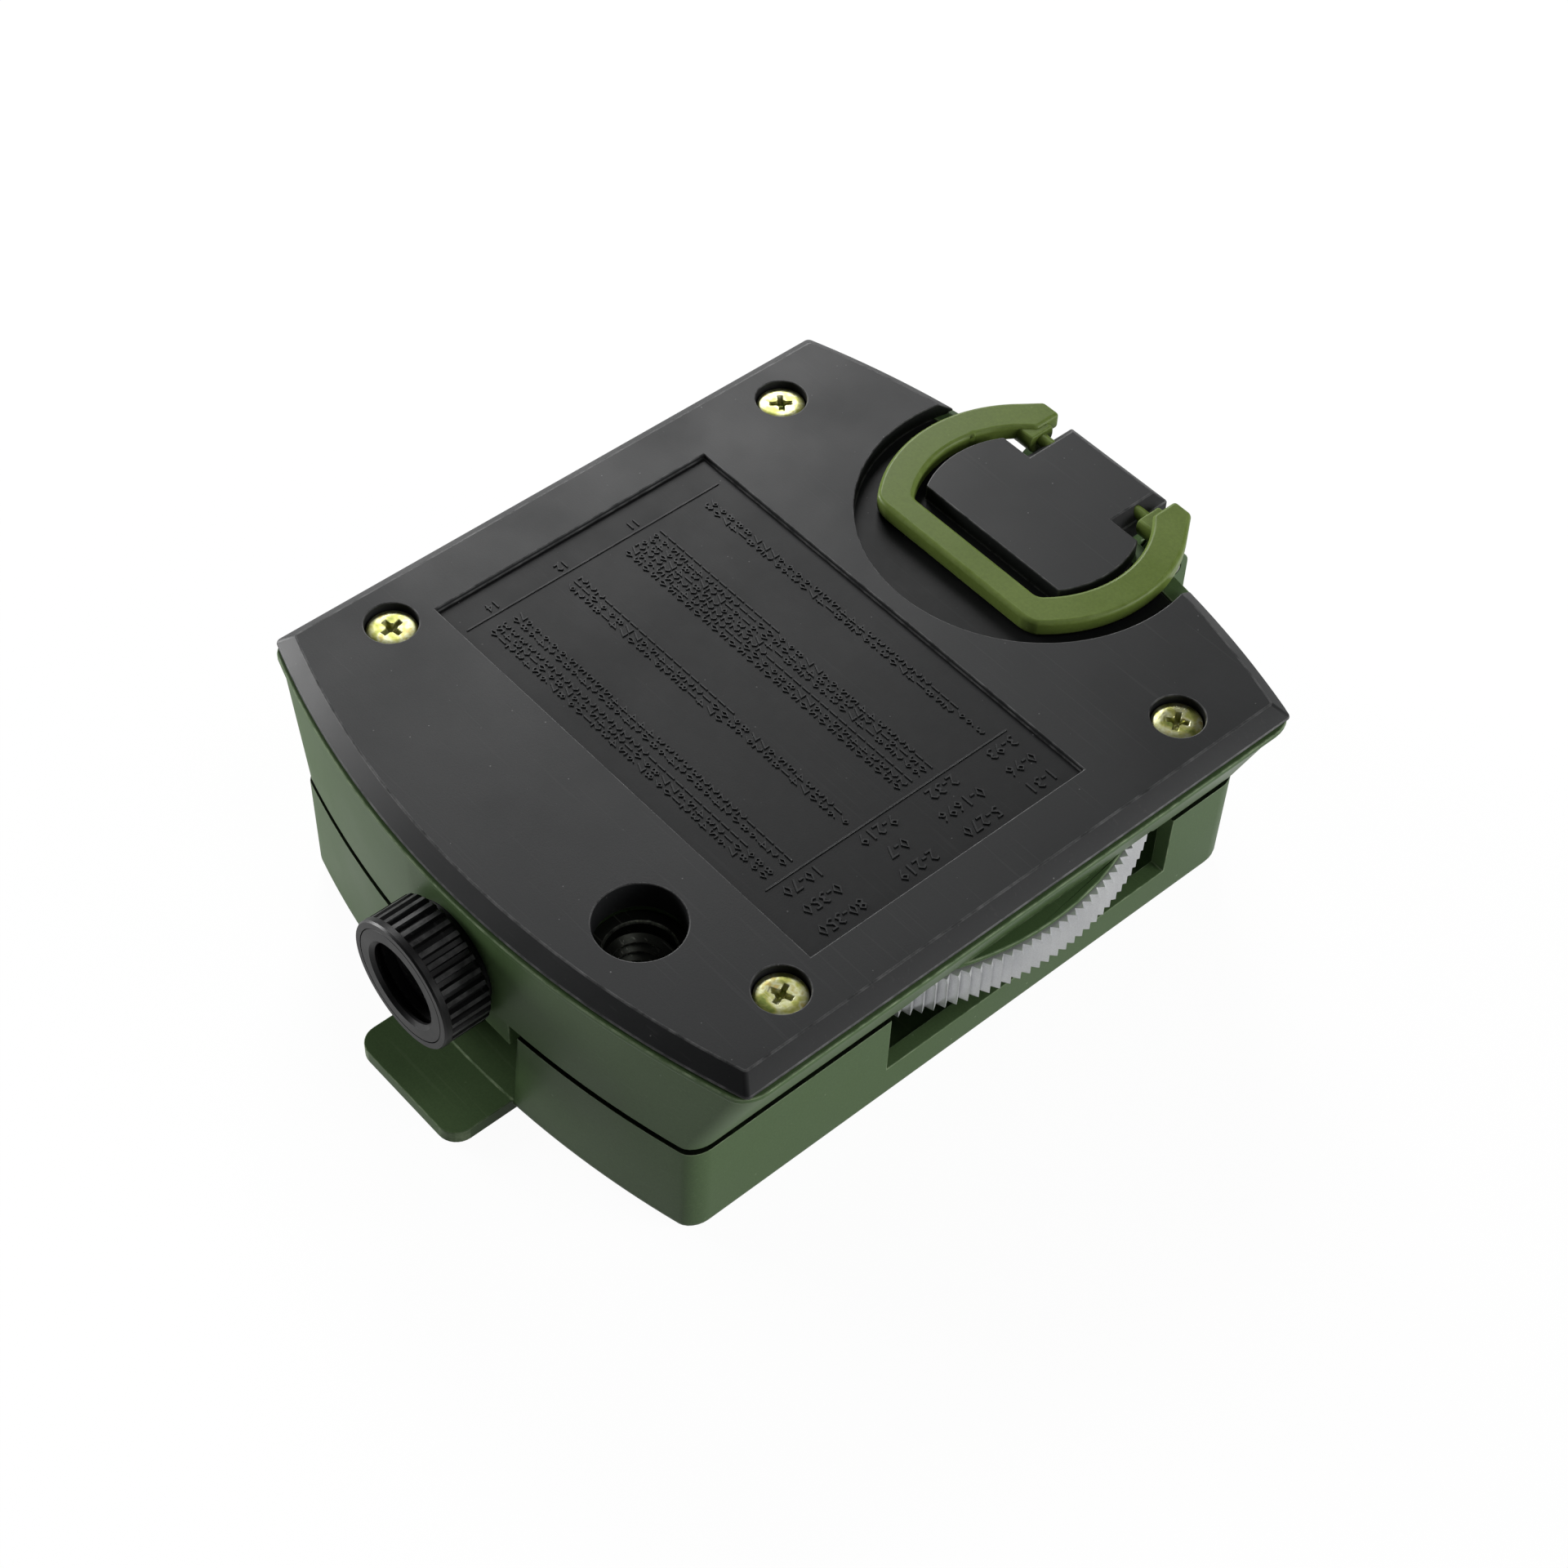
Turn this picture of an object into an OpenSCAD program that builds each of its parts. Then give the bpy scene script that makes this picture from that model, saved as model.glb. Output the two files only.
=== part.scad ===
/* [Outline] */
// Width across the base plate's straight sides
plate_w = 65; // [63:0.5:67]
// How much further the curved ends reach than the straight sides
end_over = 4.85; // [4.4:0.05:5.4]
// Radius of the two curved ends, seen from above
end_r = 99.6; // [92:0.2:108]
// Radius of the vertical corners of the lid and the case
corner_r = 2; // [1.2:0.1:2.4]
// Radius of the base plate's corners
plate_corner_r = 0.4; // [0.3:0.05:1]

/* [Heights] */
// Height of the closed lid's rim
lid_h = 12.1; // [11.5:0.05:12.8]
// Gap between the lid's rim and the case
part_gap = 0.4; // [0.3:0.05:0.5]
// Height of the case between its lower edge and the base plate
case_h = 11.9; // [11.6:0.1:13]
// Thickness of the base plate at its rim
plate_t = 1.7; // [1.6:0.05:1.9]

/* [Base plate] */
// Width of the bevel round the base plate, seen from above
bevel_in = 1.55; // [1.2:0.05:1.8]
// Height of that bevel
bevel_down = 1.25; // [1:0.05:1.3]
// Thickness of the plug under the base plate
plug_t = 1.5; // [1.3:0.05:1.7]
// Depth of the table's recess
table_d = 0.5; // [0.3:0.05:0.8]
// Length of the table's recess across the plate
table_x = 51.2; // [48:0.2:53]
// Width of the table's recess
table_y = 31.7; // [28:0.1:32]
// Inside radius of the tripod thread
thread_r = 2.55; // [2.5:0.01:2.6]

/* [Base screws] */
// Radius of a screw head
head_r = 2.2; // [2:0.05:2.4]
// Thickness of a screw head
head_t = 1.3; // [1.1:0.05:1.4]
// Radius of a screw's shank
shank_r = 1.25; // [1:0.05:1.4]

/* [Carrying ring] */
// Outside radius of the carrying ring
dring_r = 14.6; // [13.6:0.1:15]
// Width of its bar
dring_w = 3.4; // [3:0.1:3.7]
// Thickness of its bar
dring_t = 1.85; // [1.7:0.05:2]
// Radius of its pivots
dring_pin_r = 0.65; // [0.5:0.05:0.7]
// Half the width of the tongue that carries the pivots
tongue_x = 6.45; // [6:0.05:6.9]

/* [Bezel ring] */
// Width of the ring between its bore and its teeth's points
ring_w = 3.75; // [3.4:0.05:4.1]
// Number of teeth round the ring
ring_teeth = 180; // [120:10:200]
// Depth of the teeth
tooth_d = 0.8; // [0.5:0.05:0.9]
// Height of the ring
ring_h = 4.05; // [3.6:0.05:4.4]
// Thickness of the neck that the ring turns on
neck_w = 1.65; // [1.5:0.05:1.8]

/* [Eyepiece] */
// Outside radius of the focusing knob
knob_r = 6.43; // [6:0.01:6.8]
// Number of ribs round the knob
knob_ribs = 30; // [24:2:36]
// How far the eyepiece stands out from the case's end
knob_out = 5.55; // [5:0.05:6]

/* [Hinge] */
// Radius of the hinge's rounded ends
knuckle_r = 1.7; // [1.5:0.05:1.8]
// Radius of the hinge pin
hinge_pin_r = 0.8; // [0.6:0.05:0.9]
// Half the width of the case's hinge lug
lug_x = 6.3; // [5.8:0.1:6.8]

/* [Lid] */
// How much narrower the lid is than the base plate, on each side
lid_in = 4.7; // [4.4:0.1:5]
// Thickness of the lid's walls
lid_wall = 1.7; // [1.5:0.05:1.9]
// Thickness of the lid's floor
lid_floor = 1.6; // [1.4:0.05:1.8]
// Height at which the side slots begin
slot_z = 4.6; // [4.2:0.1:5]
// Half the width of the thumb tab
tab_x = 7.2; // [6.6:0.1:7.8]
// How far the thumb tab stands out from the lid's end
tab_out = 6.45; // [6:0.05:7]
// Radius of the lid's window
window_r = 9.6; // [8.6:0.1:10.2]
// Radius of the lid's bottom edge
foot_r = 1.5; // [1:0.1:1.7]

/* [Hidden] */
$fn = 96;

run_fit = 0.05;      // radial clearance of everything that turns
air = 0.3;           // gap between pieces that pass each other
through = 0.5;       // how far a cut runs past the face it opens

case_head = plate_w / 2;
end_reach = case_head + end_over;
end_cy = end_r - end_reach;
lid_w = plate_w - 2 * lid_in;
lid_reach = end_reach - 0.95;
case_z0 = lid_h + part_gap;
seat_z = case_z0 + case_h;
plate_top = seat_z + plate_t;
plug_z = seat_z - plug_t;
plug_in = 2;
lip_out = 0.3;
lip_z = seat_z - 0.65;
lip_x = case_head + lip_out;
lip_y = end_reach + lip_out;
wall = 1.9;
case_foot = lid_w / 2 + 0.1;

well_r = case_head - 6.9;
neck_r = well_r + neck_w;
ring_r = neck_r + ring_w;
dial_y = end_reach - 0.15 - ring_r;
ring_z = lid_h - 2.4;
ring_top = ring_z + ring_h;
flange_z = ring_top + air;
flange_t = 0.55;
flange_r = ring_r - tooth_d;
shelf_z = flange_z + wall - 0.25;
neck_z = ring_z - 0.35;
glass_z = ring_z + 0.3;
glass_t = 1.6;
glass_lip_r = well_r - 1.4;
clip_t = 0.6;
clip_z = ring_z - 0.3;
clip_seat_r = neck_r - 0.45;
clip_r = neck_r + 1.35;

capsule_r = well_r - run_fit;
capsule_z = glass_z + glass_t;
capsule_wall = 1.25;
pad_t = 1.4;
capsule_h = plug_z - pad_t - capsule_z;
capsule_in = capsule_z + capsule_h - 1.2;
dial_r = well_r - 3;
card_z = capsule_z + 1.4;
card_t = 0.6;
skirt_h = 5.2;
jewel_r = 1.6;
jewel_h = 1.6;
tip_r = 0.5;
arrow_r = 2.2;       // radius of the pendulum's hub
weight_r = dial_r * 2 / 3;

knob_front = end_reach + knob_out;
knob_back = end_reach + 0.45;
tube_r = knob_r - 1.23;
tube_bore = tube_r - 0.8;
sight_r = tube_r - 1.12;
boss_x = tube_r + 1.6;
notch_x = boss_x + 1.55;
lens_z = plug_z - 6.9;
facet_y = end_reach - 0.19;
tube_in = end_reach - 10.35;
light_r = 1.6;
seal_w = 0.35;
seal_y = end_reach + 2.25;
tube_front = knob_front - 1.3;
cell_front = tube_front - 1;
cell_l = 5.7;
lens_seat = 2.7;
lens_t = 2.4;
lens_r = tube_bore - 0.7;
ring_face_r = knob_r - 0.73;
ring_face_t = 0.6;

screw_x = case_head - 5.85;
screw_y = end_reach - 14.1;
post_r = shank_r + 1.65;
thread_x = case_head - 18.6;
thread_y = 9.65 - end_reach;
tripod_hole_r = thread_r + 1.55;
insert_z = flange_z + 1.85;
insert_r = thread_r + 2.05;
insert_top = plug_z - 0.9;
recess_y = end_reach - 6.25;
recess_r = dring_r + 2.05;
dring_in = dring_r - dring_w;
island_r = dring_in - 0.9;
island_y = recess_y - 5.2;
island_end = end_reach - 1.25;
table_yc = -3.35;
table_xc = 0.1;
pivot_y = end_reach + 2.05;
pivot_z = seat_z + dring_pin_r + 0.2;
tongue_y = pivot_y + 2.9;
dring_z = seat_z + 0.2;
dring_y = recess_y + 0.1;
dring_bar = dring_y - dring_in + 1.3;
tail_x = tongue_x + 1.25;
tail_y = pivot_y + 2.95;

hinge_y = end_reach + 3.85;
hinge_z = plug_z - knuckle_r - 1.5;
arm_x0 = lug_x + air;
arm_x1 = arm_x0 + 3.4;
arm_y = end_reach + 0.35;
arm_z = lid_floor + 1.4;
rear_x = 15.5;       // half the width of the gap for the ring in the lid's rear wall
rear_z = ring_z - 0.5;
chord = sqrt(pow(ring_r, 2) - pow(lid_w / 2 - lid_wall, 2));
slot_y0 = dial_y - chord - 0.5;
slot_y1 = dial_y + chord + 1;
window_y = dial_y + 8.3;
window_lip = 1;
window_t = 0.8;

// A prism whose straight sides run from half width w0 at z0 to w1 at z1, cut off by the two curved ends
module slab(w0, w1, z0, z1, front, back) {
    intersection() {
        rotate([90, 0, 0])
            linear_extrude(height = 4 * end_reach, center = true)
                polygon([[-w0, z0], [w0, z0], [w1, z1], [-w1, z1]]);
        translate([0, end_r - front, z0])
            cylinder(r = end_r, h = z1 - z0, $fn = 360);
        translate([0, back - end_r, z0])
            cylinder(r = end_r, h = z1 - z0, $fn = 360);
    }
}

// What rounding to radius r takes off one vertical corner of an outline of half width w and reach y
module corner_cut(r, w, y, z0, z1) {
    c = [w - r, end_r - y - sqrt(pow(end_r - r, 2) - pow(w - r, 2))];
    out = (c - [0, end_r - y]) * (r + 1) / (end_r - r);
    translate([0, 0, z0])
        linear_extrude(height = z1 - z0)
            difference() {
                polygon([c, [w + 1, c[1]], [w + 1, c[1] + out[1]], c + out]);
                translate(c + [run_fit, -run_fit])
                    circle(r = r, $fn = 48);
            }
}

// The same for all four corners
module corner_cuts(r, w, front, back, z0, z1) {
    for (side = [0, 1]) {
        mirror([side, 0, 0]) {
            corner_cut(r, w, front, z0, z1);
            mirror([0, 1, 0])
                corner_cut(r, w, back, z0, z1);
        }
    }
}

// A disc about the dial's axis
module dial_disc(r, z0, z1) {
    translate([0, dial_y, z0])
        cylinder(r = r, h = z1 - z0, $fn = 180);
}

// A ring about the dial's axis
module dial_ring(outer, inner, z0, z1) {
    difference() {
        dial_disc(outer, z0, z1);
        dial_disc(inner, z0 - through, z1 + through);
    }
}

// A rod along the lens axis between two distances in front of the middle of the case
module lens_rod(r, y0, y1) {
    translate([0, -y0, lens_z])
        rotate([90, 0, 0])
            cylinder(r = r, h = y1 - y0);
}

// A block between two corners
module block(a, b) {
    translate(a)
        cube([b[0] - a[0], b[1] - a[1], b[2] - a[2]]);
}

module lid_outer() {
    difference() {
        intersection() {
            rotate([90, 0, 0])
                linear_extrude(height = 4 * end_reach, center = true) {
                    polygon([[0.15 - lid_w / 2, foot_r], [lid_w / 2 - 0.15, foot_r],
                             [lid_w / 2, lid_h], [-lid_w / 2, lid_h]]);
                    for (side = [0, 1])
                        mirror([side, 0])
                            foot_profile(lid_w / 2 - 0.15, foot_r);
                }
            translate([0, end_cy, 0])
                rotate_extrude($fn = 360)
                    foot_profile(end_r, lid_h);
            translate([0, lid_reach - end_r, 0])
                rotate_extrude($fn = 360)
                    foot_profile(end_r, lid_h);
        }
        corner_cuts(corner_r, lid_w / 2, end_reach, lid_reach, -through, lid_h + through);
    }
}

// Half a section of reach x and height h with the lid's rounded bottom edge
module foot_profile(x, h) {
    square([x - foot_r, h]);
    if (h > foot_r)
        translate([0, foot_r])
            square([x, h - foot_r]);
    intersection() {
        translate([x - foot_r, foot_r])
            circle(r = foot_r, $fn = 48);
        square([x, foot_r]);
    }
}

module lid_tab() {
    tab_r = 2;
    tab_t = 1.4;
    tab_y = end_reach + tab_out;
    root_y = lid_wall + 3 - end_reach;
    block([-tab_x, tab_r - tab_y, 0], [tab_x, root_y, tab_t]);
    block([tab_r - tab_x, -tab_y, 0], [tab_x - tab_r, root_y, tab_t]);
    for (side = [-1, 1])
        translate([side * (tab_x - tab_r), tab_r - tab_y, 0])
            cylinder(r = tab_r, h = tab_t);
}

module lid_arm() {
    block([arm_x0, lid_reach - lid_wall + 0.2, arm_z], [arm_x1, hinge_y + knuckle_r, rear_z]);
    block([arm_x0, arm_y, arm_z], [arm_x1, hinge_y + knuckle_r, hinge_z]);
    translate([arm_x0, hinge_y, hinge_z])
        rotate([0, 90, 0])
            cylinder(r = knuckle_r, h = arm_x1 - arm_x0);
}

module lid_shell() color([0.29, 0.36, 0.27]) {
    difference() {
        union() {
            difference() {
                lid_outer();
                slab(lid_w / 2 - lid_wall, lid_w / 2 - lid_wall, lid_floor, lid_h + through,
                     end_reach - lid_wall, lid_reach - lid_wall);
            }
            lid_tab();
            for (side = [0, 1])
                mirror([side, 0, 0])
                    lid_arm();
        }
        for (side = [0, 1])
            mirror([side, 0, 0])
                block([lid_w / 2 - lid_wall - 1, slot_y0, slot_z], [lid_w, slot_y1, lid_h + through]);
        block([-notch_x, -end_reach - 1, lid_floor], [notch_x, 6 - end_reach, lid_h + through]);
        translate([0, dial_y - air, rear_z])
            cylinder(r = ring_r + 0.7, h = lid_h, $fn = 180);
        block([-rear_x, lid_reach - 6, rear_z], [rear_x, arm_y - 0.1, lid_h + through]);
        translate([0, window_y, -through])
            cylinder(r = window_r, h = lid_floor + 1);
        translate([0, window_y, lid_floor - window_lip])
            cylinder(r = window_r + window_lip, h = window_lip + through);
        translate([-arm_x1 - 1, hinge_y, hinge_z])
            rotate([0, 90, 0])
                cylinder(r = hinge_pin_r, h = 2 * arm_x1 + 2);
    }
}

module lid_window() color([0.8, 0.86, 0.86, 0.4]) {
    translate([0, window_y, lid_floor - window_lip])
        cylinder(r = window_r + window_lip, h = window_t);
}

module window_retainer() color([0.1, 0.1, 0.1]) {
    translate([0, window_y, lid_floor - window_lip + window_t])
        difference() {
            cylinder(r = window_r + window_lip, h = 0.6);
            translate([0, 0, -through])
                cylinder(r = window_r, h = 2);
        }
}

module sight_wire() color([0.1, 0.1, 0.1]) {
    wire_r = 0.12;
    translate([0, window_y + window_r, lid_floor - window_lip + window_t + wire_r])
        rotate([90, 0, 0])
            cylinder(r = wire_r, h = 2 * window_r, $fn = 24);
}

module hinge_pin() color([0.7, 0.7, 0.7]) {
    translate([-arm_x1, hinge_y, hinge_z])
        rotate([0, 90, 0])
            cylinder(r = hinge_pin_r, h = 2 * arm_x1);
}

module case_shell() {
    difference() {
        slab(case_foot, case_head, case_z0, lip_z, end_reach, end_reach);
        translate([0, dial_y, case_z0 - through])
            cylinder(r = ring_r + 0.5, h = flange_z - case_z0 + through, $fn = 180);
        block([-6.1, -end_reach - 1, case_z0 - through], [6.1, -facet_y, lip_z]);
    }
    difference() {
        slab(lip_x, lip_x, lip_z, seat_z, lip_y, lip_y);
        corner_cuts(corner_r, lip_x, lip_y, lip_y, lip_z - through, seat_z + through);
    }
}

module case_pocket() {
    slab(case_foot - wall, case_head - wall, shelf_z, plug_z, end_reach - wall, end_reach - wall);
}

module case_inside() {
    root_z = shelf_z - 0.5;
    dial_disc(neck_r, root_z, plug_z);
    for (sx = [-1, 1], sy = [-1, 1])
        translate([sx * screw_x, sy * screw_y, root_z])
            cylinder(r = post_r, h = plug_z - root_z);
    translate([thread_x, thread_y, root_z])
        cylinder(r = insert_r + 1, h = plug_z - root_z);
    block([-boss_x, 1 - facet_y, root_z], [boss_x, dial_y - well_r - 0.5, plug_z]);
    block([-lug_x - 3, dial_y + neck_r - 3, root_z], [lug_x + 3, end_reach - 1, plug_z]);
}

module case_lug() {
    lug_low = hinge_z - knuckle_r;
    block([-lug_x, end_reach - 1, lug_low], [lug_x, hinge_y, hinge_z + knuckle_r]);
    block([-lug_x, end_reach - 1, lug_low], [lug_x, hinge_y - 1, plug_z]);
    translate([-lug_x, hinge_y, hinge_z])
        rotate([0, 90, 0])
            cylinder(r = knuckle_r, h = 2 * lug_x);
}

module case_body() color([0.3, 0.38, 0.28]) {
    difference() {
        union() {
            difference() {
                case_shell();
                case_pocket();
                slab(case_head - wall, case_head - wall, plug_z, seat_z + through, end_reach - wall, end_reach - wall);
            }
            intersection() {
                case_inside();
                slab(case_foot, case_head, case_z0, lip_z, end_reach, end_reach);
            }
            dial_disc(flange_r, flange_z, flange_z + flange_t);
            dial_disc(neck_r, clip_z + clip_t, shelf_z - 0.5);
            dial_disc(clip_seat_r, neck_z, clip_z + clip_t);
            block([-boss_x, -facet_y, ring_z - 0.7], [boss_x, dial_y - ring_r - 1.2, case_z0 + 1]);
            case_lug();
        }
        dial_disc(well_r, glass_z, seat_z);
        dial_disc(glass_lip_r, neck_z - through, glass_z + through);
        for (sx = [-1, 1], sy = [-1, 1])
            translate([sx * screw_x, sy * screw_y, insert_z])
                cylinder(r = shank_r, h = plate_t + seat_z);
        translate([thread_x, thread_y, insert_z])
            cylinder(r = insert_r, h = seat_z);
        lens_rod(tube_r, tube_in, knob_front);
        lens_rod(light_r, 0, tube_in + 1);
        block([-tongue_x - 0.1, end_reach - wall - 1, plug_z], [tongue_x + 0.1, hinge_y + 3, seat_z + 1]);
        translate([-lug_x - 1, hinge_y, hinge_z])
            rotate([0, 90, 0])
                cylinder(r = hinge_pin_r + run_fit, h = 2 * lug_x + 2);
        seal_ring(0);
    }
}

// The seal's outline, lowered into the case's top face
module seal_ring(lift) {
    difference() {
        slab(case_head - 0.9, case_head - 0.9, seat_z - 0.4, seat_z + lift, end_reach - 0.9, end_reach - 0.9);
        slab(case_head - 1.5, case_head - 1.5, seat_z - 1, seat_z + 1, end_reach - 1.5, end_reach - 1.5);
        block([-tongue_x - 1, 0, seat_z - 1], [tongue_x + 1, 2 * end_reach, seat_z + 1]);
    }
}

module base_seal() color([0.06, 0.06, 0.06]) {
    seal_ring(-run_fit);
}

module plate_blank() {
    difference() {
        intersection() {
            rotate([90, 0, 0])
                linear_extrude(height = 4 * end_reach, center = true)
                    polygon([[-case_head, seat_z + 0.2], [-case_head + 0.4, seat_z + 0.2], [-case_head + 0.4, seat_z],
                             [case_head - 0.4, seat_z], [case_head - 0.4, seat_z + 0.2], [case_head, seat_z + 0.2],
                             [case_head, plate_top - bevel_down], [case_head - bevel_in, plate_top],
                             [bevel_in - case_head, plate_top], [-case_head, plate_top - bevel_down]]);
            for_both_ends();
        }
        corner_cuts(plate_corner_r, case_head, end_reach, end_reach, seat_z - through, plate_top + through);
    }
}

// The space between the plate's two curved ends, with their bevels
module for_both_ends() {
    intersection() {
        translate([0, end_cy, 0])
            end_disc();
        translate([0, -end_cy, 0])
            end_disc();
    }
}

module end_disc() {
    translate([0, 0, seat_z])
        cylinder(r = end_r - 0.4, h = 0.2, $fn = 360);
    translate([0, 0, seat_z + 0.2])
        cylinder(r = end_r, h = plate_t - bevel_down - 0.2, $fn = 360);
    translate([0, 0, plate_top - bevel_down])
        cylinder(r1 = end_r, r2 = end_r - bevel_in, h = bevel_down, $fn = 360);
}

module tongue() {
    edge = 0.8;
    rotate([90, 0, 90])
        linear_extrude(height = 2 * tongue_x, center = true)
            polygon([[island_end - 3, plug_z], [tongue_y, plug_z], [tongue_y, plate_top - edge],
                     [tongue_y - edge, plate_top], [island_end - 3, plate_top]]);
}

module island() {
    intersection() {
        translate([0, recess_y, seat_z])
            cylinder(r = island_r, h = plate_t);
        block([-island_r, island_y, seat_z], [island_r, island_end, plate_top]);
    }
}

module base_plate() color([0.16, 0.17, 0.17]) {
    plug_x = case_head - plug_in;
    plug_y = end_reach - plug_in;
    difference() {
        union() {
            difference() {
                union() {
                    plate_blank();
                    slab(plug_x, plug_x, plug_z, seat_z + 0.1, plug_y, plug_y);
                }
                translate([0, recess_y, seat_z])
                    cylinder(r = recess_r, h = 3);
            }
            island();
            tongue();
        }
        block([table_xc - table_x / 2, table_yc - table_y / 2, plate_top - table_d],
              [table_xc + table_x / 2, table_yc + table_y / 2, plate_top + 1]);
        translate([thread_x, thread_y, plug_z - through])
            cylinder(r = tripod_hole_r, h = 5);
        for (sx = [-1, 1], sy = [-1, 1])
            translate([sx * screw_x, sy * screw_y, plug_z - through]) {
                cylinder(r = shank_r + 0.15, h = 5);
                translate([0, 0, head_seat() - plug_z + through])
                    cylinder(r = head_r + 0.3, h = 5);
            }
        for (side = [-1, 1])
            translate([side * (tongue_x - 0.7), pivot_y, pivot_z])
                rotate([0, 90, 0])
                    cylinder(r = dring_pin_r + run_fit, h = 2 * 1.4, center = true);
    }
}

// Height of the face that a screw head rests on
function head_seat() = plate_top - 0.75 - head_t;

module base_screws() color([0.72, 0.68, 0.5]) {
    for (sx = [-1, 1], sy = [-1, 1])
        translate([sx * screw_x, sy * screw_y, 0]) {
            difference() {
                translate([0, 0, head_seat()])
                    cylinder(r = head_r, h = head_t);
                translate([0, 0, head_seat() + head_t - 0.7]) {
                    block([-1.2, -0.28, 0], [1.2, 0.28, 2]);
                    block([-0.28, -1.2, 0], [0.28, 1.2, 2]);
                }
            }
            translate([0, 0, insert_z + 1])
                cylinder(r = shank_r, h = head_seat() - insert_z - 0.9);
        }
}

module tripod_insert() color([0.6, 0.6, 0.58]) {
    translate([thread_x, thread_y, 0])
        difference() {
            translate([0, 0, insert_z])
                cylinder(r = insert_r, h = insert_top - insert_z);
            translate([0, 0, insert_z + 0.8])
                cylinder(r = thread_r, h = 12);
        }
}

module front_glass() color([0.8, 0.86, 0.86, 0.4]) {
    dial_disc(capsule_r, glass_z, glass_z + glass_t);
}

module capsule_housing() color([0.85, 0.88, 0.9, 0.4]) {
    difference() {
        dial_disc(capsule_r, capsule_z, capsule_z + capsule_h);
        dial_disc(capsule_r - capsule_wall, capsule_z - through, capsule_in);
    }
}

module capsule_pad() color([0.08, 0.08, 0.08]) {
    dial_ring(capsule_r - 1, capsule_r - 5, plug_z - pad_t, plug_z);
}

module pivot_post() color([0.7, 0.66, 0.45]) {
    jewel_end = card_z + card_t + jewel_h;
    dial_disc(3, capsule_in - 0.6, capsule_in);
    dial_disc(0.9, jewel_end + air, capsule_in);
    dial_disc(tip_r, card_z + card_t + 0.5, capsule_in);
}

module pendulum_pin() color([0.7, 0.66, 0.45]) {
    dial_disc(1.5, capsule_z, capsule_z + 0.25);
    dial_disc(0.6, capsule_z, card_z - air);
}

module pendulum() color([0.75, 0.2, 0.12]) {
    z0 = capsule_z + 0.35;
    z1 = z0 + 0.6;
    difference() {
        union() {
            dial_disc(arrow_r, z0, z1);
            translate([0, dial_y, 0])
                block([-0.8, 1 - weight_r, z0], [0.8, -1, z1]);
            intersection() {
                dial_ring(weight_r, weight_r - 3.5, z0, z1);
                translate([0, dial_y, z0])
                    linear_extrude(height = z1 - z0)
                        polygon([[0, 0], [-0.6 * weight_r, -1.2 * weight_r], [0.6 * weight_r, -1.2 * weight_r]]);
            }
        }
        dial_disc(0.6 + run_fit, z0 - through, z1 + through);
    }
}

module dial_card() color([0.92, 0.92, 0.88]) {
    difference() {
        dial_disc(dial_r, card_z, card_z + skirt_h);
        dial_disc(dial_r - 0.6, card_z + card_t, card_z + skirt_h + through);
    }
}

module dial_magnet() color([0.5, 0.5, 0.52]) {
    difference() {
        translate([0, dial_y, card_z + card_t])
            block([-0.58 * dial_r, 0.9 - 2 * jewel_r, 0], [0.58 * dial_r, 2 * jewel_r - 0.9, jewel_h]);
        dial_disc(jewel_r, card_z, card_z + card_t + jewel_h + through);
    }
}

module jewel_cap() color([0.6, 0.1, 0.12]) {
    difference() {
        dial_disc(jewel_r, card_z + card_t, card_z + card_t + jewel_h);
        dial_disc(tip_r + run_fit, card_z + card_t + air, card_z + card_t + jewel_h + through);
    }
}

module bezel_ring() color([0.85, 0.86, 0.86]) {
    step = 360 / ring_teeth / 2;
    difference() {
        translate([0, dial_y, ring_z])
            linear_extrude(height = ring_h)
                polygon([for (i = [0:2 * ring_teeth - 1])
                    (ring_r - tooth_d * (i % 2)) * [cos(i * step), sin(i * step)]]);
        dial_disc(neck_r + run_fit, ring_z - through, ring_top + through);
        dial_disc(clip_r + air, ring_z - through, clip_z + clip_t + air);
    }
}

module bezel_retainer() color([0.15, 0.15, 0.15]) {
    dial_ring(clip_r, clip_seat_r, clip_z, clip_z + clip_t);
}

module eyepiece_tube() color([0.07, 0.07, 0.07]) {
    difference() {
        lens_rod(tube_r, tube_in, tube_front);
        lens_rod(tube_bore, tube_in + 2, knob_front);
        lens_rod(light_r, 0, knob_front);
        difference() {
            lens_rod(tube_r + 1, seal_y - 1.2 * seal_w, seal_y + 1.2 * seal_w);
            lens_rod(tube_r - 2 * seal_w, seal_y - 1, seal_y + 1);
        }
    }
}

module eyepiece_seal() color([0.05, 0.05, 0.05]) {
    translate([0, -seal_y, lens_z])
        rotate([90, 0, 0])
            rotate_extrude()
                translate([tube_r - seal_w, 0])
                    circle(r = seal_w, $fn = 24);
}

module eyepiece_knob() color([0.07, 0.07, 0.07]) {
    rib_d = 0.3;
    step = 360 / knob_ribs / 4;
    difference() {
        union() {
            lens_rod(knob_r, knob_front - 0.8, knob_front);
            translate([0, -knob_back, lens_z])
                rotate([90, 0, 0])
                    linear_extrude(height = knob_front - knob_back - 0.8)
                        polygon([for (i = [0:4 * knob_ribs - 1])
                            (knob_r - 0.05 - rib_d * (floor(i / 2) % 2)) * [cos(i * step), sin(i * step)]]);
        }
        lens_rod(tube_r + run_fit, knob_back - through, tube_front + air);
        lens_rod(tube_bore - 0.1, knob_back, knob_front + through);
        lens_rod(ring_face_r, knob_front - ring_face_t, knob_front + through);
    }
}

module eyepiece_ring() color([0.07, 0.07, 0.07]) {
    difference() {
        lens_rod(ring_face_r, knob_front - ring_face_t, knob_front);
        lens_rod(sight_r, knob_back, knob_front + through);
    }
}

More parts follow.
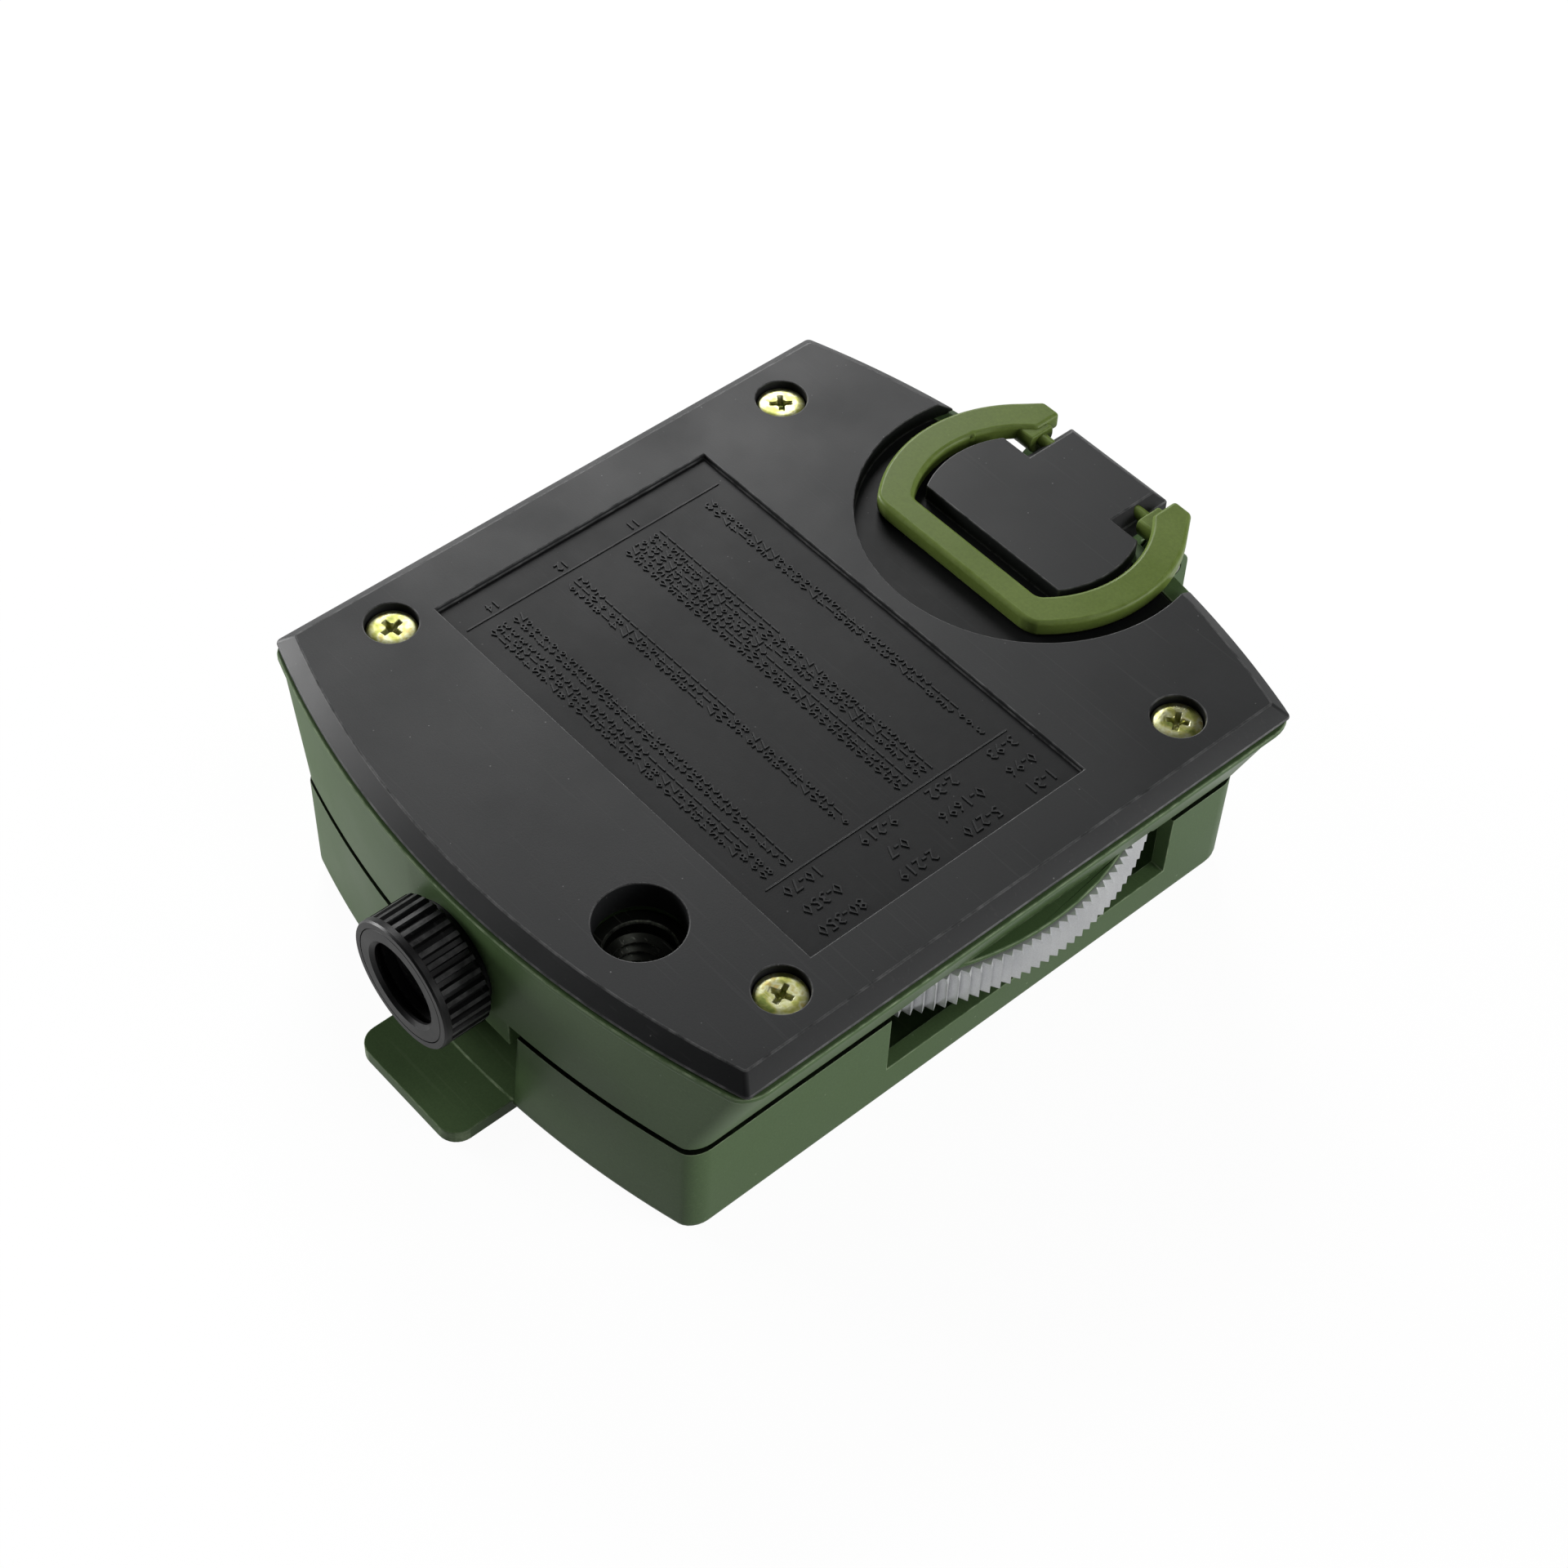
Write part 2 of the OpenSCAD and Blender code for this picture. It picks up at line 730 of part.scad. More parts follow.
module lens_cell() color([0.1, 0.1, 0.1]) {
    difference() {
        lens_rod(tube_bore - run_fit, cell_front - cell_l, cell_front);
        lens_rod(lens_r, cell_front - lens_seat, knob_front);
        lens_rod(lens_r - 0.4, cell_front - cell_l - through, knob_front);
    }
}

module eyepiece_lens() color([0.8, 0.86, 0.9, 0.4]) {
    dome_r = 2.7 * lens_r;
    intersection() {
        lens_rod(lens_r, cell_front - lens_seat, cell_front);
        translate([0, dome_r + lens_seat - lens_t - cell_front, lens_z])
            sphere(r = dome_r, $fn = 96);
    }
}

module d_ring() color([0.4, 0.49, 0.26]) {
    difference() {
        translate([0, dring_y, dring_z])
            cylinder(r = dring_r, h = dring_t, $fn = 180);
        difference() {
            translate([0, dring_y, dring_z - 1])
                cylinder(r = dring_in, h = dring_t + 2, $fn = 180);
            block([-dring_r, dring_bar, dring_z - 2], [dring_r, dring_bar + dring_w - 0.5, dring_z + dring_t + 2]);
        }
        block([-dring_r, dring_y - dring_r - 1, dring_z - 1], [dring_r, dring_bar, dring_z + 3]);
        block([-tail_x, pivot_y - 0.1, dring_z - 1], [tail_x, tail_y + 3, dring_z + 3]);
        block([-dring_r, tail_y, dring_z - 1], [dring_r, tail_y + 5, dring_z + 3]);
    }
    for (side = [0, 1])
        mirror([side, 0, 0])
            translate([tongue_x - 1.2, pivot_y, pivot_z])
                rotate([0, 90, 0])
                    cylinder(r = dring_pin_r, h = tail_x - tongue_x + 2);
}

lid_shell();
lid_window();
window_retainer();
sight_wire();
hinge_pin();
case_body();
base_plate();
base_seal();
base_screws();
tripod_insert();
front_glass();
capsule_housing();
capsule_pad();
pivot_post();
pendulum_pin();
pendulum();
dial_card();
dial_magnet();
jewel_cap();
bezel_ring();
bezel_retainer();
eyepiece_tube();
eyepiece_seal();
eyepiece_knob();
eyepiece_ring();
lens_cell();
eyepiece_lens();
d_ring();
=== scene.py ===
"""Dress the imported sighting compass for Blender: fine shapes, finishes, light and camera.

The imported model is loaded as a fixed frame. Each sub-assembly below shapes its visible pieces in
millimetres with bmesh operators, hands them over in metres in the frame's own place, and lets them
ride on the frame's bodies.
"""

from __future__ import annotations

import logging
import math
from dataclasses import dataclass, field
from enum import Enum
from typing import Callable, Iterable, Sequence

import bmesh
import bpy
from bmesh.types import BMEdge, BMesh, BMVert
from bpy.types import Material, Node, NodeSocket, NodeTree, Object
from mathutils import Matrix, Vector

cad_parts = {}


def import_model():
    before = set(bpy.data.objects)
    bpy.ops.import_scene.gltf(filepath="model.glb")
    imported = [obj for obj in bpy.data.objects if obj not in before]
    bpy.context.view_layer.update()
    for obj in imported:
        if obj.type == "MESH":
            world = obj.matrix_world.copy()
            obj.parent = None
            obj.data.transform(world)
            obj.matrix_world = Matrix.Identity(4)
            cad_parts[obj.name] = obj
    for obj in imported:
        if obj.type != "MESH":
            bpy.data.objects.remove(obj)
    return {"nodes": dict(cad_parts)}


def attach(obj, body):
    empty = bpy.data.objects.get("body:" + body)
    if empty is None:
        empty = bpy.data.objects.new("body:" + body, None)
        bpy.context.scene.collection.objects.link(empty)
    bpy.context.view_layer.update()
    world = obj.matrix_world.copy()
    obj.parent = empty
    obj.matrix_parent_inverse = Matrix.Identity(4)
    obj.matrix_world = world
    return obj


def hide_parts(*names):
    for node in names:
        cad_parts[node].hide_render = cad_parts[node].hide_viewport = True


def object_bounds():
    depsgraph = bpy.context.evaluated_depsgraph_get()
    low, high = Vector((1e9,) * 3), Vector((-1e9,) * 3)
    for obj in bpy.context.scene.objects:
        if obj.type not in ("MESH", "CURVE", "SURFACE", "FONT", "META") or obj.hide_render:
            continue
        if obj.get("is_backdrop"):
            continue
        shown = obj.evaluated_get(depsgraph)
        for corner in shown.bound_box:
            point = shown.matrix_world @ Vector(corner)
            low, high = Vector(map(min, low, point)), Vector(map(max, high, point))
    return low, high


LOG = logging.getLogger("compass")

MM = 0.001
UP = Vector((0.0, 0.0, 1.0))
ACROSS = Vector((1.0, 0.0, 0.0))
FORWARD = Vector((0.0, -1.0, 0.0))
FULL_TURN = 2.0 * math.pi
FAR = 40.0
WELD = 0.003
EDGE_LAYER = "edge"
# Faces marked in this layer take painted shade: their colour is pulled towards near-black and their
# reflections fade, standing in for the shade in recesses and gaps.
PAINTED_SHADE_LAYER = "painted_shade"
Colour = tuple[float, float, float, float]
# The near-black that painted shade goes towards.
PAINTED_SHADE_BLACK: Colour = (0.003, 0.003, 0.003, 1.0)
WHITE: Colour = (1.0, 1.0, 1.0, 1.0)


class Join(Enum):
    """How one shape is combined with another."""

    CUT = "DIFFERENCE"
    ADD = "UNION"
    KEEP = "INTERSECT"


# --------------------------------------------------------------------------------------------------
# Shapes


@dataclass(frozen=True)
class Level:
    """One outline of a stacked shape: straight sides and curved ends, seen from above."""

    z: float
    half: float
    front: float
    back: float
    corner: float = 2.0
    grow: float = 0.0


def linked(name: str, data: bpy.types.ID) -> Object:
    """Makes an object of the data and puts it in the scene."""
    made = bpy.data.objects.new(name, data)
    bpy.context.scene.collection.objects.link(made)
    return made


def dotted(bm: BMesh, places: Iterable[Vector]) -> list[BMVert]:
    """Adds a corner at each place."""
    return [bmesh.ops.create_vert(bm, co=place)["vert"][0] for place in places]


def swept(
    bm: BMesh,
    items: Sequence[object],
    centre: Vector,
    axis: Vector,
    angle: float,
    steps: int,
    rise: float = 0.0,
    merge: bool = False,
) -> list[object]:
    """Spins corners, edges and faces about an axis.

    Args:
        bm: the mesh that they belong to.
        items: what is spun.
        centre: a point on the axis.
        axis: the axis's direction.
        angle: the whole turn in radians.
        steps: the number of facets.
        rise: how far each step moves along the axis.
        merge: join the last copy to the first.

    Returns:
        The items of the last copy.
    """
    done = bmesh.ops.spin(
        bm,
        geom=items,
        cent=centre,
        axis=axis,
        dvec=axis * rise,
        angle=angle,
        steps=steps,
        use_merge=merge,
    )
    return done["geom_last"]


class Solid:
    """A closed shape in millimetres, made and cut by Blender's own operators."""

    def __init__(self, bm: BMesh) -> None:
        """Takes over a bmesh that holds a closed shape."""
        self.bm = bm

    @staticmethod
    def spun(
        profile: Sequence[tuple[float, float]],
        centre: Vector,
        along: Vector = UP,
        steps: int = 128,
    ) -> "Solid":
        """Spins an outline of (radius, distance) points a full turn about an axis.

        Args:
            profile: the outline's corners, in order.
            centre: a point on the axis, from which the distances are measured.
            along: the axis's direction.
            steps: the number of facets round the turn.

        Returns:
            The shape of revolution.
        """
        bm = bmesh.new()
        side = ACROSS.copy() if abs(along.z) > 0.9 else along.orthogonal().normalized()
        verts = dotted(bm, (centre + side * radius + along * reach for radius, reach in profile))
        edges = []
        for here in range(len(verts)):
            there = (here + 1) % len(verts)
            if max(profile[here][0], profile[there][0]) >= 1e-6:
                edges += bmesh.ops.contextual_create(bm, geom=[verts[here], verts[there]])["edges"]
        swept(bm, verts + edges, centre, along, FULL_TURN, steps, merge=True)
        return Solid(bm).tidied()

    @staticmethod
    def rod(radius: float, start: Vector, end: Vector, steps: int = 64) -> "Solid":
        """Makes a plain round rod between two points."""
        bm = bmesh.new()
        run = end - start
        place = Matrix.Translation((start + end) / 2) @ run.to_track_quat("Z", "Y").to_matrix().to_4x4()
        bmesh.ops.create_cone(
            bm, cap_ends=True, segments=steps, radius1=radius, radius2=radius, depth=run.length, matrix=place
        )
        return Solid(bm)

    @staticmethod
    def crossing(
        radius: float, pivot: tuple[float, float], start: float, end: float, steps: int = 32
    ) -> "Solid":
        """Makes a rod along X through a point (y, z) of the side view, from one place to another."""
        return Solid.rod(radius, Vector((start, *pivot)), Vector((end, *pivot)), steps)

    @staticmethod
    def disc(
        radius: float, centre: tuple[float, float], low: float, high: float, steps: int = 128
    ) -> "Solid":
        """Makes an upright disc between two heights."""
        return Solid.rod(radius, Vector((*centre, low)), Vector((*centre, high)), steps)

    @staticmethod
    def block(low: Sequence[float], high: Sequence[float]) -> "Solid":
        """Makes a block between two corners."""
        bm = bmesh.new()
        size = Vector(high) - Vector(low)
        place = Matrix.Translation((Vector(low) + Vector(high)) / 2) @ Matrix.Diagonal((*size, 1.0))
        bmesh.ops.create_cube(bm, size=1.0, matrix=place)
        return Solid(bm)

    @staticmethod
    def stacked(levels: Sequence[Level], bend: float, steps: int = 40) -> "Solid":
        """Joins outlines at several heights into one closed shape.

        Args:
            levels: the outlines, from one end of the skin to the other.
            bend: the radius of the curved ends.
            steps: the number of facets along each curved end.

        Returns:
            The closed shape.
        """
        bm = bmesh.new()
        loops: list[list[BMEdge]] = []
        for level in levels:
            loops.append(Solid._outline(bm, level, bend, steps))
            if len(loops) > 1:
                bmesh.ops.bridge_loops(bm, edges=loops[-2] + loops[-1])
        bmesh.ops.edgeloop_fill(bm, edges=loops[0])
        bmesh.ops.edgeloop_fill(bm, edges=loops[-1])
        return Solid(bm).tidied()

    @staticmethod
    def _outline(bm: BMesh, level: Level, bend: float, steps: int) -> list[BMEdge]:
        """Draws one outline by spinning two corners round the centres of the curved ends.

        Args:
            bm: the mesh that takes the outline.
            level: the outline's height and measures.
            bend: the radius of the curved ends.
            steps: the number of facets along each curved end.

        Returns:
            The outline's edges.
        """
        half, radius = level.half + level.grow, bend + level.grow
        swing = math.asin(half / radius)
        known = set(bm.verts)
        corners = []
        for reach, way in ((level.back, 1.0), (level.front, -1.0)):
            centre = Vector((0.0, way * (reach - bend), level.z))
            start = centre + Vector((way * half, way * radius * math.cos(swing), 0.0))
            first = dotted(bm, [start])[0]
            last = swept(bm, [first], centre, UP, 2.0 * swing, steps)
            corners += [first, *(item for item in last if isinstance(item, BMVert))]
        bmesh.ops.contextual_create(bm, geom=[corners[1], corners[2]])
        bmesh.ops.contextual_create(bm, geom=[corners[3], corners[0]])
        corner = max(level.corner + level.grow, 0.25)
        bmesh.ops.bevel(
            bm,
            geom=corners,
            offset=corner,
            offset_type="OFFSET",
            segments=6,
            profile=0.5,
            affect="VERTICES",
            clamp_overlap=False,
            material=-1,
        )
        fresh = {vert for vert in bm.verts if vert not in known}
        return [edge for edge in bm.edges if edge.verts[0] in fresh and edge.verts[1] in fresh]

    @staticmethod
    def prism(points: Sequence[tuple[float, float]], low: float, high: float) -> "Solid":
        """Raises a flat outline of a few corners from one height to another."""
        bm = bmesh.new()
        verts = dotted(bm, (Vector((x, y, low)) for x, y in points))
        face = bmesh.ops.contextual_create(bm, geom=verts)["faces"] or [bm.faces.new(verts)]
        grown = bmesh.ops.extrude_face_region(bm, geom=face, use_keep_orig=True)
        lifted = [item for item in grown["geom"] if isinstance(item, BMVert)]
        bmesh.ops.translate(bm, verts=lifted, vec=UP * (high - low))
        return Solid(bm).tidied()

    def ordered(self) -> "Solid":
        """Lays corners and faces in the order of their places, so that every run gives the same shape.

        Some of Blender's operators hand back the same shape in another order at each run, and the next
        operator may then round or merge a corner in another way.

        Returns:
            This shape, with its marks kept.
        """
        old, floats = self.bm, self.bm.faces.layers.float
        marks = [floats[name] for name in floats.keys()]
        verts = sorted(old.verts, key=lambda vert: tuple(vert.co))
        rank = {vert: place for place, vert in enumerate(verts)}
        rows = []
        for face in old.faces:
            turn = [rank[vert] for vert in face.verts]
            first = turn.index(min(turn))
            rows.append((turn[first:] + turn[:first], [face[mark] for mark in marks]))
        self.bm = bmesh.new()
        marks = [self.bm.faces.layers.float.new(name) for name in floats.keys()]
        fresh = [self.bm.verts.new(vert.co) for vert in verts]
        for turn, values in sorted(rows):
            face = self.bm.faces.new([fresh[place] for place in turn])
            for mark, value in zip(marks, values):
                face[mark] = value
        old.free()
        self.bm.normal_update()
        return self

    def tidied(self, reach: float = WELD) -> "Solid":
        """Merges doubled corners and turns the faces outwards."""
        self.ordered()
        bmesh.ops.remove_doubles(self.bm, verts=self.bm.verts, dist=reach)
        bmesh.ops.dissolve_degenerate(self.bm, edges=self.bm.edges, dist=reach)
        self.ordered()
        bmesh.ops.recalc_face_normals(self.bm, faces=self.bm.faces)
        return self.ordered()

    def trimmed(self, low: float, high: float) -> "Solid":
        """Takes off everything below one height and above another, and closes the cuts."""
        for height, way in ((low, -UP), (high, UP)):
            done = bmesh.ops.bisect_plane(
                self.bm,
                geom=self._everything(),
                dist=0.0001,
                plane_co=UP * height,
                plane_no=way,
                clear_outer=True,
            )
            rim = [
                item for item in done["geom_cut"] if isinstance(item, BMEdge) and item.is_boundary
            ]
            bmesh.ops.edgeloop_fill(self.bm, edges=rim)
            self.ordered()
        return self.tidied()

    def moved(self, matrix: Matrix) -> "Solid":
        """Moves or turns the whole shape."""
        bmesh.ops.transform(self.bm, matrix=matrix, verts=self.bm.verts)
        return self

    def _everything(self) -> list[object]:
        """Lists every corner, edge and face."""
        return self.bm.verts[:] + self.bm.edges[:] + self.bm.faces[:]

    def along_with(self, *others: "Solid") -> "Solid":
        """Adds other closed shapes to this one without joining their skins."""
        for other in others:
            mesh = bpy.data.meshes.new("passed")
            other.bm.to_mesh(mesh)
            self.bm.from_mesh(mesh)
            bpy.data.meshes.remove(mesh)
            other.bm.free()
        return self

    def joined(self, how: Join, *tools: "Solid") -> "Solid":
        """Cuts this shape with others, or adds them to it.

        Args:
            how: whether the tools are cut away, added or kept.
            tools: the other shapes, which are used up.

        Returns:
            This shape, changed.
        """
        target = self._lent("target")
        helpers = [tool._lent("tool") for tool in tools]
        for helper in helpers:
            step = target.modifiers.new("step", "BOOLEAN")
            step.operation = how.value
            step.solver = "EXACT"
            step.object = helper
        graph = bpy.context.evaluated_depsgraph_get()
        made = bpy.data.meshes.new_from_object(target.evaluated_get(graph))
        self.bm.free()
        self.bm = bmesh.new()
        self.bm.from_mesh(made)
        for lent in [target, *helpers]:
            skin = lent.data
            bpy.data.objects.remove(lent)
            bpy.data.meshes.remove(skin)
        bpy.data.meshes.remove(made)
        for tool in tools:
            tool.bm.free()
        self.tidied()
        unclosed = sum(1 for edge in self.bm.edges if len(edge.link_faces) != 2)
        if unclosed:
            LOG.warning("a joined shape has %d edges that aren't closed", unclosed)
        return self

    def cut(self, *tools: "Solid") -> "Solid":
        """Cuts the tools away."""
        return self.joined(Join.CUT, *tools)

    def plus(self, *tools: "Solid") -> "Solid":
        """Joins the tools on."""
        return self.joined(Join.ADD, *tools)

    def _lent(self, name: str) -> Object:
        """Puts a copy of the shape in the scene while a modifier works on it."""
        mesh = bpy.data.meshes.new(name)
        self.bm.to_mesh(mesh)
        return linked(name, mesh)

    def softened(
        self,
        width: float,
        segments: int = 2,
        sharper_than: float = 32.0,
        where: Callable[[Vector], bool] | None = None,
        merge: float = 0.0,
        mark: float = 1.0,
    ) -> "Solid":
        """Rounds the sharp edges and marks the faces that this makes.

        Args:
            width: the rounding's width.
            segments: the number of facets across it.
            sharper_than: the least angle in degrees between two faces that meet at a rounded edge.
            where: takes an edge's middle and tells whether it is rounded; None rounds every one.
            merge: corners of the roundings that are closer than this become one.
            mark: how much the new faces count as rubbed edges, from 0 to 1.

        Returns:
            This shape, changed.
        """
        bmesh.ops.remove_doubles(self.bm, verts=self.bm.verts, dist=width * 0.15)
        self.ordered()
        bmesh.ops.dissolve_limit(
            self.bm,
            angle_limit=math.radians(0.4),
            verts=self.bm.verts,
            edges=self.bm.edges,
            use_dissolve_boundaries=False,
        )
        self.ordered()
        layer = self._layer(EDGE_LAYER)
        sharp = []
        for edge in self.bm.edges:
            if len(edge.link_faces) != 2 or edge.calc_face_angle(0.0) < math.radians(sharper_than):
                continue
            if where is None or where((edge.verts[0].co + edge.verts[1].co) / 2):
                sharp.append(edge)
        made = bmesh.ops.bevel(
            self.bm,
            geom=sharp,
            offset=width,
            offset_type="OFFSET",
            segments=segments,
            profile=0.5,
            affect="EDGES",
            clamp_overlap=False,
            loop_slide=False,
            material=-1,
        )
        for face in made["faces"]:
            face[layer] = mark
        if merge:
            self.ordered()
            bmesh.ops.remove_doubles(self.bm, verts=self.bm.verts, dist=merge)
        return self.ordered()

    def parted(self, across: Sequence[float], along: Sequence[float]) -> "Solid":
        """Parts the faces along upright planes, so that long bent ones fill cleanly.

        Args:
            across: the planes' places along X.
            along: the planes' places along Y.

        Returns:
            This shape, changed.
        """
        planes = [((x, 0.0, 0.0), ACROSS) for x in across] + [((0.0, y, 0.0), FORWARD) for y in along]
        for place, normal in planes:
            bmesh.ops.bisect_plane(
                self.bm, geom=self._everything(), dist=1e-5, plane_co=place, plane_no=normal
            )
            self.ordered()
        return self

    def _layer(self, name: str) -> object:
        """Returns the faces' layer of marks of that name."""
        return self.bm.faces.layers.float.get(name) or self.bm.faces.layers.float.new(name)

    def marked(self, name: str, where: Callable[[Vector], bool], mark: float = 1.0) -> "Solid":
        """Marks the faces whose middle is chosen, in the layer of that name.

        Args:
            name: the layer's name.
            where: takes a face's middle and tells whether it is marked.
            mark: how strongly, from 0 to 1.

        Returns:
            This shape, changed.
        """
        layer = self._layer(name)
        for face in self.bm.faces:
            if where(face.calc_center_median()):
                face[layer] = mark
        return self

    def placed(
        self,
        name: str,
        finish: "Finish",
        body: str,
        stands_for: Sequence[str] = (),
        smooth_below: float = 33.0,
    ) -> Object:
        """Hands the shape to the scene in metres.

        Args:
            name: the piece's name.
            finish: the finish of its surface.
            body: the frame's body that it rides on.
            stands_for: the frame's nodes that it replaces.
            smooth_below: faces that meet at less than this angle in degrees are shaded as one.

        Returns:
            The piece.
        """
        bmesh.ops.scale(self.bm, vec=(MM, MM, MM), verts=self.bm.verts)
        for face in self.bm.faces:
            face.smooth = True
        mesh = bpy.data.meshes.new(name)
        self.bm.to_mesh(mesh)
        self.bm.free()
        mesh.set_sharp_from_angle(angle=math.radians(smooth_below))
        mesh.materials.append(finish.material())
        piece = linked(name, mesh)
        weigh = piece.modifiers.new("even_shading", "WEIGHTED_NORMAL")
        weigh.keep_sharp = True
        weigh.weight = 80
        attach(piece, body)
        if stands_for:
            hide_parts(*stands_for)
        LOG.info("%s: %d faces on %s", name, len(mesh.polygons), body)
        return piece


# --------------------------------------------------------------------------------------------------
# Finishes


def shade(red: int, green: int, blue: int) -> Colour:
    """Turns a colour of 0 to 255 a channel into the linear values that Blender's sockets take.

    Args:
        red: the first channel.
        green: the second channel.
        blue: the third channel.

    Returns:
        The linear colour, opaque.
    """

    def linear(channel: int) -> float:
        """Removes the display curve from one channel."""
        part = channel / 255.0
        return part / 12.92 if part <= 0.04045 else ((part + 0.055) / 1.055) ** 2.4

    return (linear(red), linear(green), linear(blue), 1.0)


class NodeBoard:
    """A node tree that is filled one node at a time."""

    def __init__(self, tree: NodeTree) -> None:
        """Starts with an empty tree."""
        self.tree = tree
        tree.nodes.clear()

    def add(
        self, kind: str, links: dict[str, object] | None = None, **settings: object
    ) -> Node:
        """Adds a node.

        Args:
            kind: the node's type.
            links: for each input's name or number, an output socket to link or a value to set.
            settings: the node's own properties.

        Returns:
            The node.
        """
        node = self.tree.nodes.new(kind)
        for key, value in settings.items():
            setattr(node, key, value)
        for key, value in (links or {}).items():
            self._fill(node.inputs[int(key)] if key.isdigit() else node.inputs[key], value)
        return node

    def _fill(self, socket: NodeSocket, value: object) -> None:
        """Links an output socket to an input, or sets the input to a plain value."""
        if isinstance(value, NodeSocket):
            self.tree.links.new(value, socket)
        else:
            socket.default_value = value

    def sum(self, how: str, first: object, second: object, clamp: bool = False) -> NodeSocket:
        """Adds a Math node and returns its output."""
        numbers = {"0": first, "1": second}
        return self.add("ShaderNodeMath", numbers, operation=how, use_clamp=clamp).outputs[0]

    def range(
        self, value: object, low: float, high: float, to_low: float = 0.0, to_high: float = 1.0
    ) -> NodeSocket:
        """Adds a clamped Map Range node and returns its output."""
        numbers = {"0": value, "1": low, "2": high, "3": to_low, "4": to_high}
        return self.add("ShaderNodeMapRange", numbers, clamp=True).outputs[0]

    def noise(
        self, place: NodeSocket, scale: object, detail: float, roughness: float = 0.5
    ) -> NodeSocket:
        """Adds a Noise Texture node and returns its grey output."""
        values = {"Vector": place, "Scale": scale, "Detail": detail, "Roughness": roughness}
        return self.add("ShaderNodeTexNoise", values).outputs["Fac"]

    def blend(self, how: str, amount: object, first: object, second: object) -> NodeSocket:
        """Adds a colour Mix node and returns its output."""
        node = self.tree.nodes.new("ShaderNodeMix")
        node.data_type = "RGBA"
        node.blend_type = how
        for number, value in ((0, amount), (6, first), (7, second)):
            self._fill(node.inputs[number], value)
        return node.outputs[2]


class SharedEffect:
    """A shader node group that several finishes use, each with its own values."""

    _made: dict[str, NodeTree] = {}

    @classmethod
    def get(
        cls,
        name: str,
        inputs: Sequence[tuple[str, float]],
        outputs: Sequence[str],
        fill: Callable[[NodeBoard, Node], dict[str, NodeSocket]],
    ) -> NodeTree:
        """Builds the group the first time it is asked for.

        Args:
            name: the group's name.
            inputs: each number input's name and default.
            outputs: the names of the outputs, all of them numbers.
            fill: draws the nodes and returns the socket for each output.

        Returns:
            The group.
        """
        if name in cls._made:
            return cls._made[name]
        tree = bpy.data.node_groups.new(name, "ShaderNodeTree")
        tree.interface.new_socket(name="Place", in_out="INPUT", socket_type="NodeSocketVector")
        for label, value in inputs:
            socket = tree.interface.new_socket(name=label, in_out="INPUT", socket_type="NodeSocketFloat")
            socket.default_value = value
        for label in outputs:
            tree.interface.new_socket(name=label, in_out="OUTPUT", socket_type="NodeSocketFloat")
        board = NodeBoard(tree)
        start = board.add("NodeGroupInput")
        finished = fill(board, start)
        board.add("NodeGroupOutput", dict(finished))
        cls._made[name] = tree
        return tree


def draw_grain(board: NodeBoard, start: Node) -> dict[str, NodeSocket]:
    """Draws the fine grain, the slow mottling and the light flecks of a sprayed or moulded surface."""
    place = start.outputs["Place"]
    fine = board.noise(place, start.outputs["Grain"], 3.0, 0.6)
    slow = board.noise(place, start.outputs["Mottle"], 4.0, 0.55)
    dots = board.add("ShaderNodeTexVoronoi", {"Vector": place, "Scale": start.outputs["Fleck"]})
    size = board.noise(place, start.outputs["Fleck"], 1.0)
    near = board.sum("LESS_THAN", dots.outputs["Distance"], start.outputs["Fleck size"])
    chosen = board.range(size, 0.56, 0.68)
    return {"Fine": fine, "Slow": slow, "Flecks": board.sum("MULTIPLY", near, chosen)}


def draw_wear_and_shade(board: NodeBoard, start: Node) -> dict[str, NodeSocket]:
    """Draws where paint is rubbed thin, on the rounded edges, and where shade is painted into the marked
    recesses and gaps.
    """
    edge = board.add("ShaderNodeAttribute", attribute_name=EDGE_LAYER)
    patchy = board.noise(start.outputs["Place"], start.outputs["Patch"], 5.0, 0.65)
    broken = board.range(patchy, 0.38, 0.68, 0.15, 1.0)
    rubbed = board.sum("MULTIPLY", edge.outputs["Fac"], broken)
    # Painted shade: the marked faces, made a little uneven.
    shade_mark = board.add("ShaderNodeAttribute", attribute_name=PAINTED_SHADE_LAYER)
    uneven = board.range(patchy, 0.3, 0.6, 0.86, 0.97)
    return {
        "Worn": board.sum("MULTIPLY", rubbed, start.outputs["Amount"], clamp=True),
        "Grime": board.sum("MULTIPLY", shade_mark.outputs["Fac"], uneven),
    }


def draw_scratches(board: NodeBoard, start: Node) -> dict[str, NodeSocket]:
    """Draws faint long scratches in two directions."""
    masks = []
    for angle in (0.5, 2.1):
        turn = {"Rotation": (0.0, 0.0, angle), "Scale": (1.0, 40.0, 40.0)}
        turned = board.add("ShaderNodeMapping", {"Vector": start.outputs["Place"], **turn})
        line = board.noise(turned.outputs[0], start.outputs["Spacing"], 2.0)
        masks.append(board.range(line, 0.66, 0.72))
    return {"Lines": board.sum("MAXIMUM", masks[0], masks[1])}


def grain_effect() -> NodeTree:
    """Returns the grain group."""
    inputs = [("Grain", 9000.0), ("Mottle", 60.0), ("Fleck", 900.0), ("Fleck size", 0.1)]
    return SharedEffect.get("surface_grain", inputs, ["Fine", "Slow", "Flecks"], draw_grain)


def wear_and_shade_effect() -> NodeTree:
    """Returns the group of edge wear and painted shade."""
    inputs = [("Patch", 700.0), ("Amount", 0.5)]
    return SharedEffect.get("edge_wear", inputs, ["Worn", "Grime"], draw_wear_and_shade)


def scratch_effect() -> NodeTree:
    """Returns the scratch group."""
    return SharedEffect.get("fine_scratches", [("Spacing", 60.0)], ["Lines"], draw_scratches)


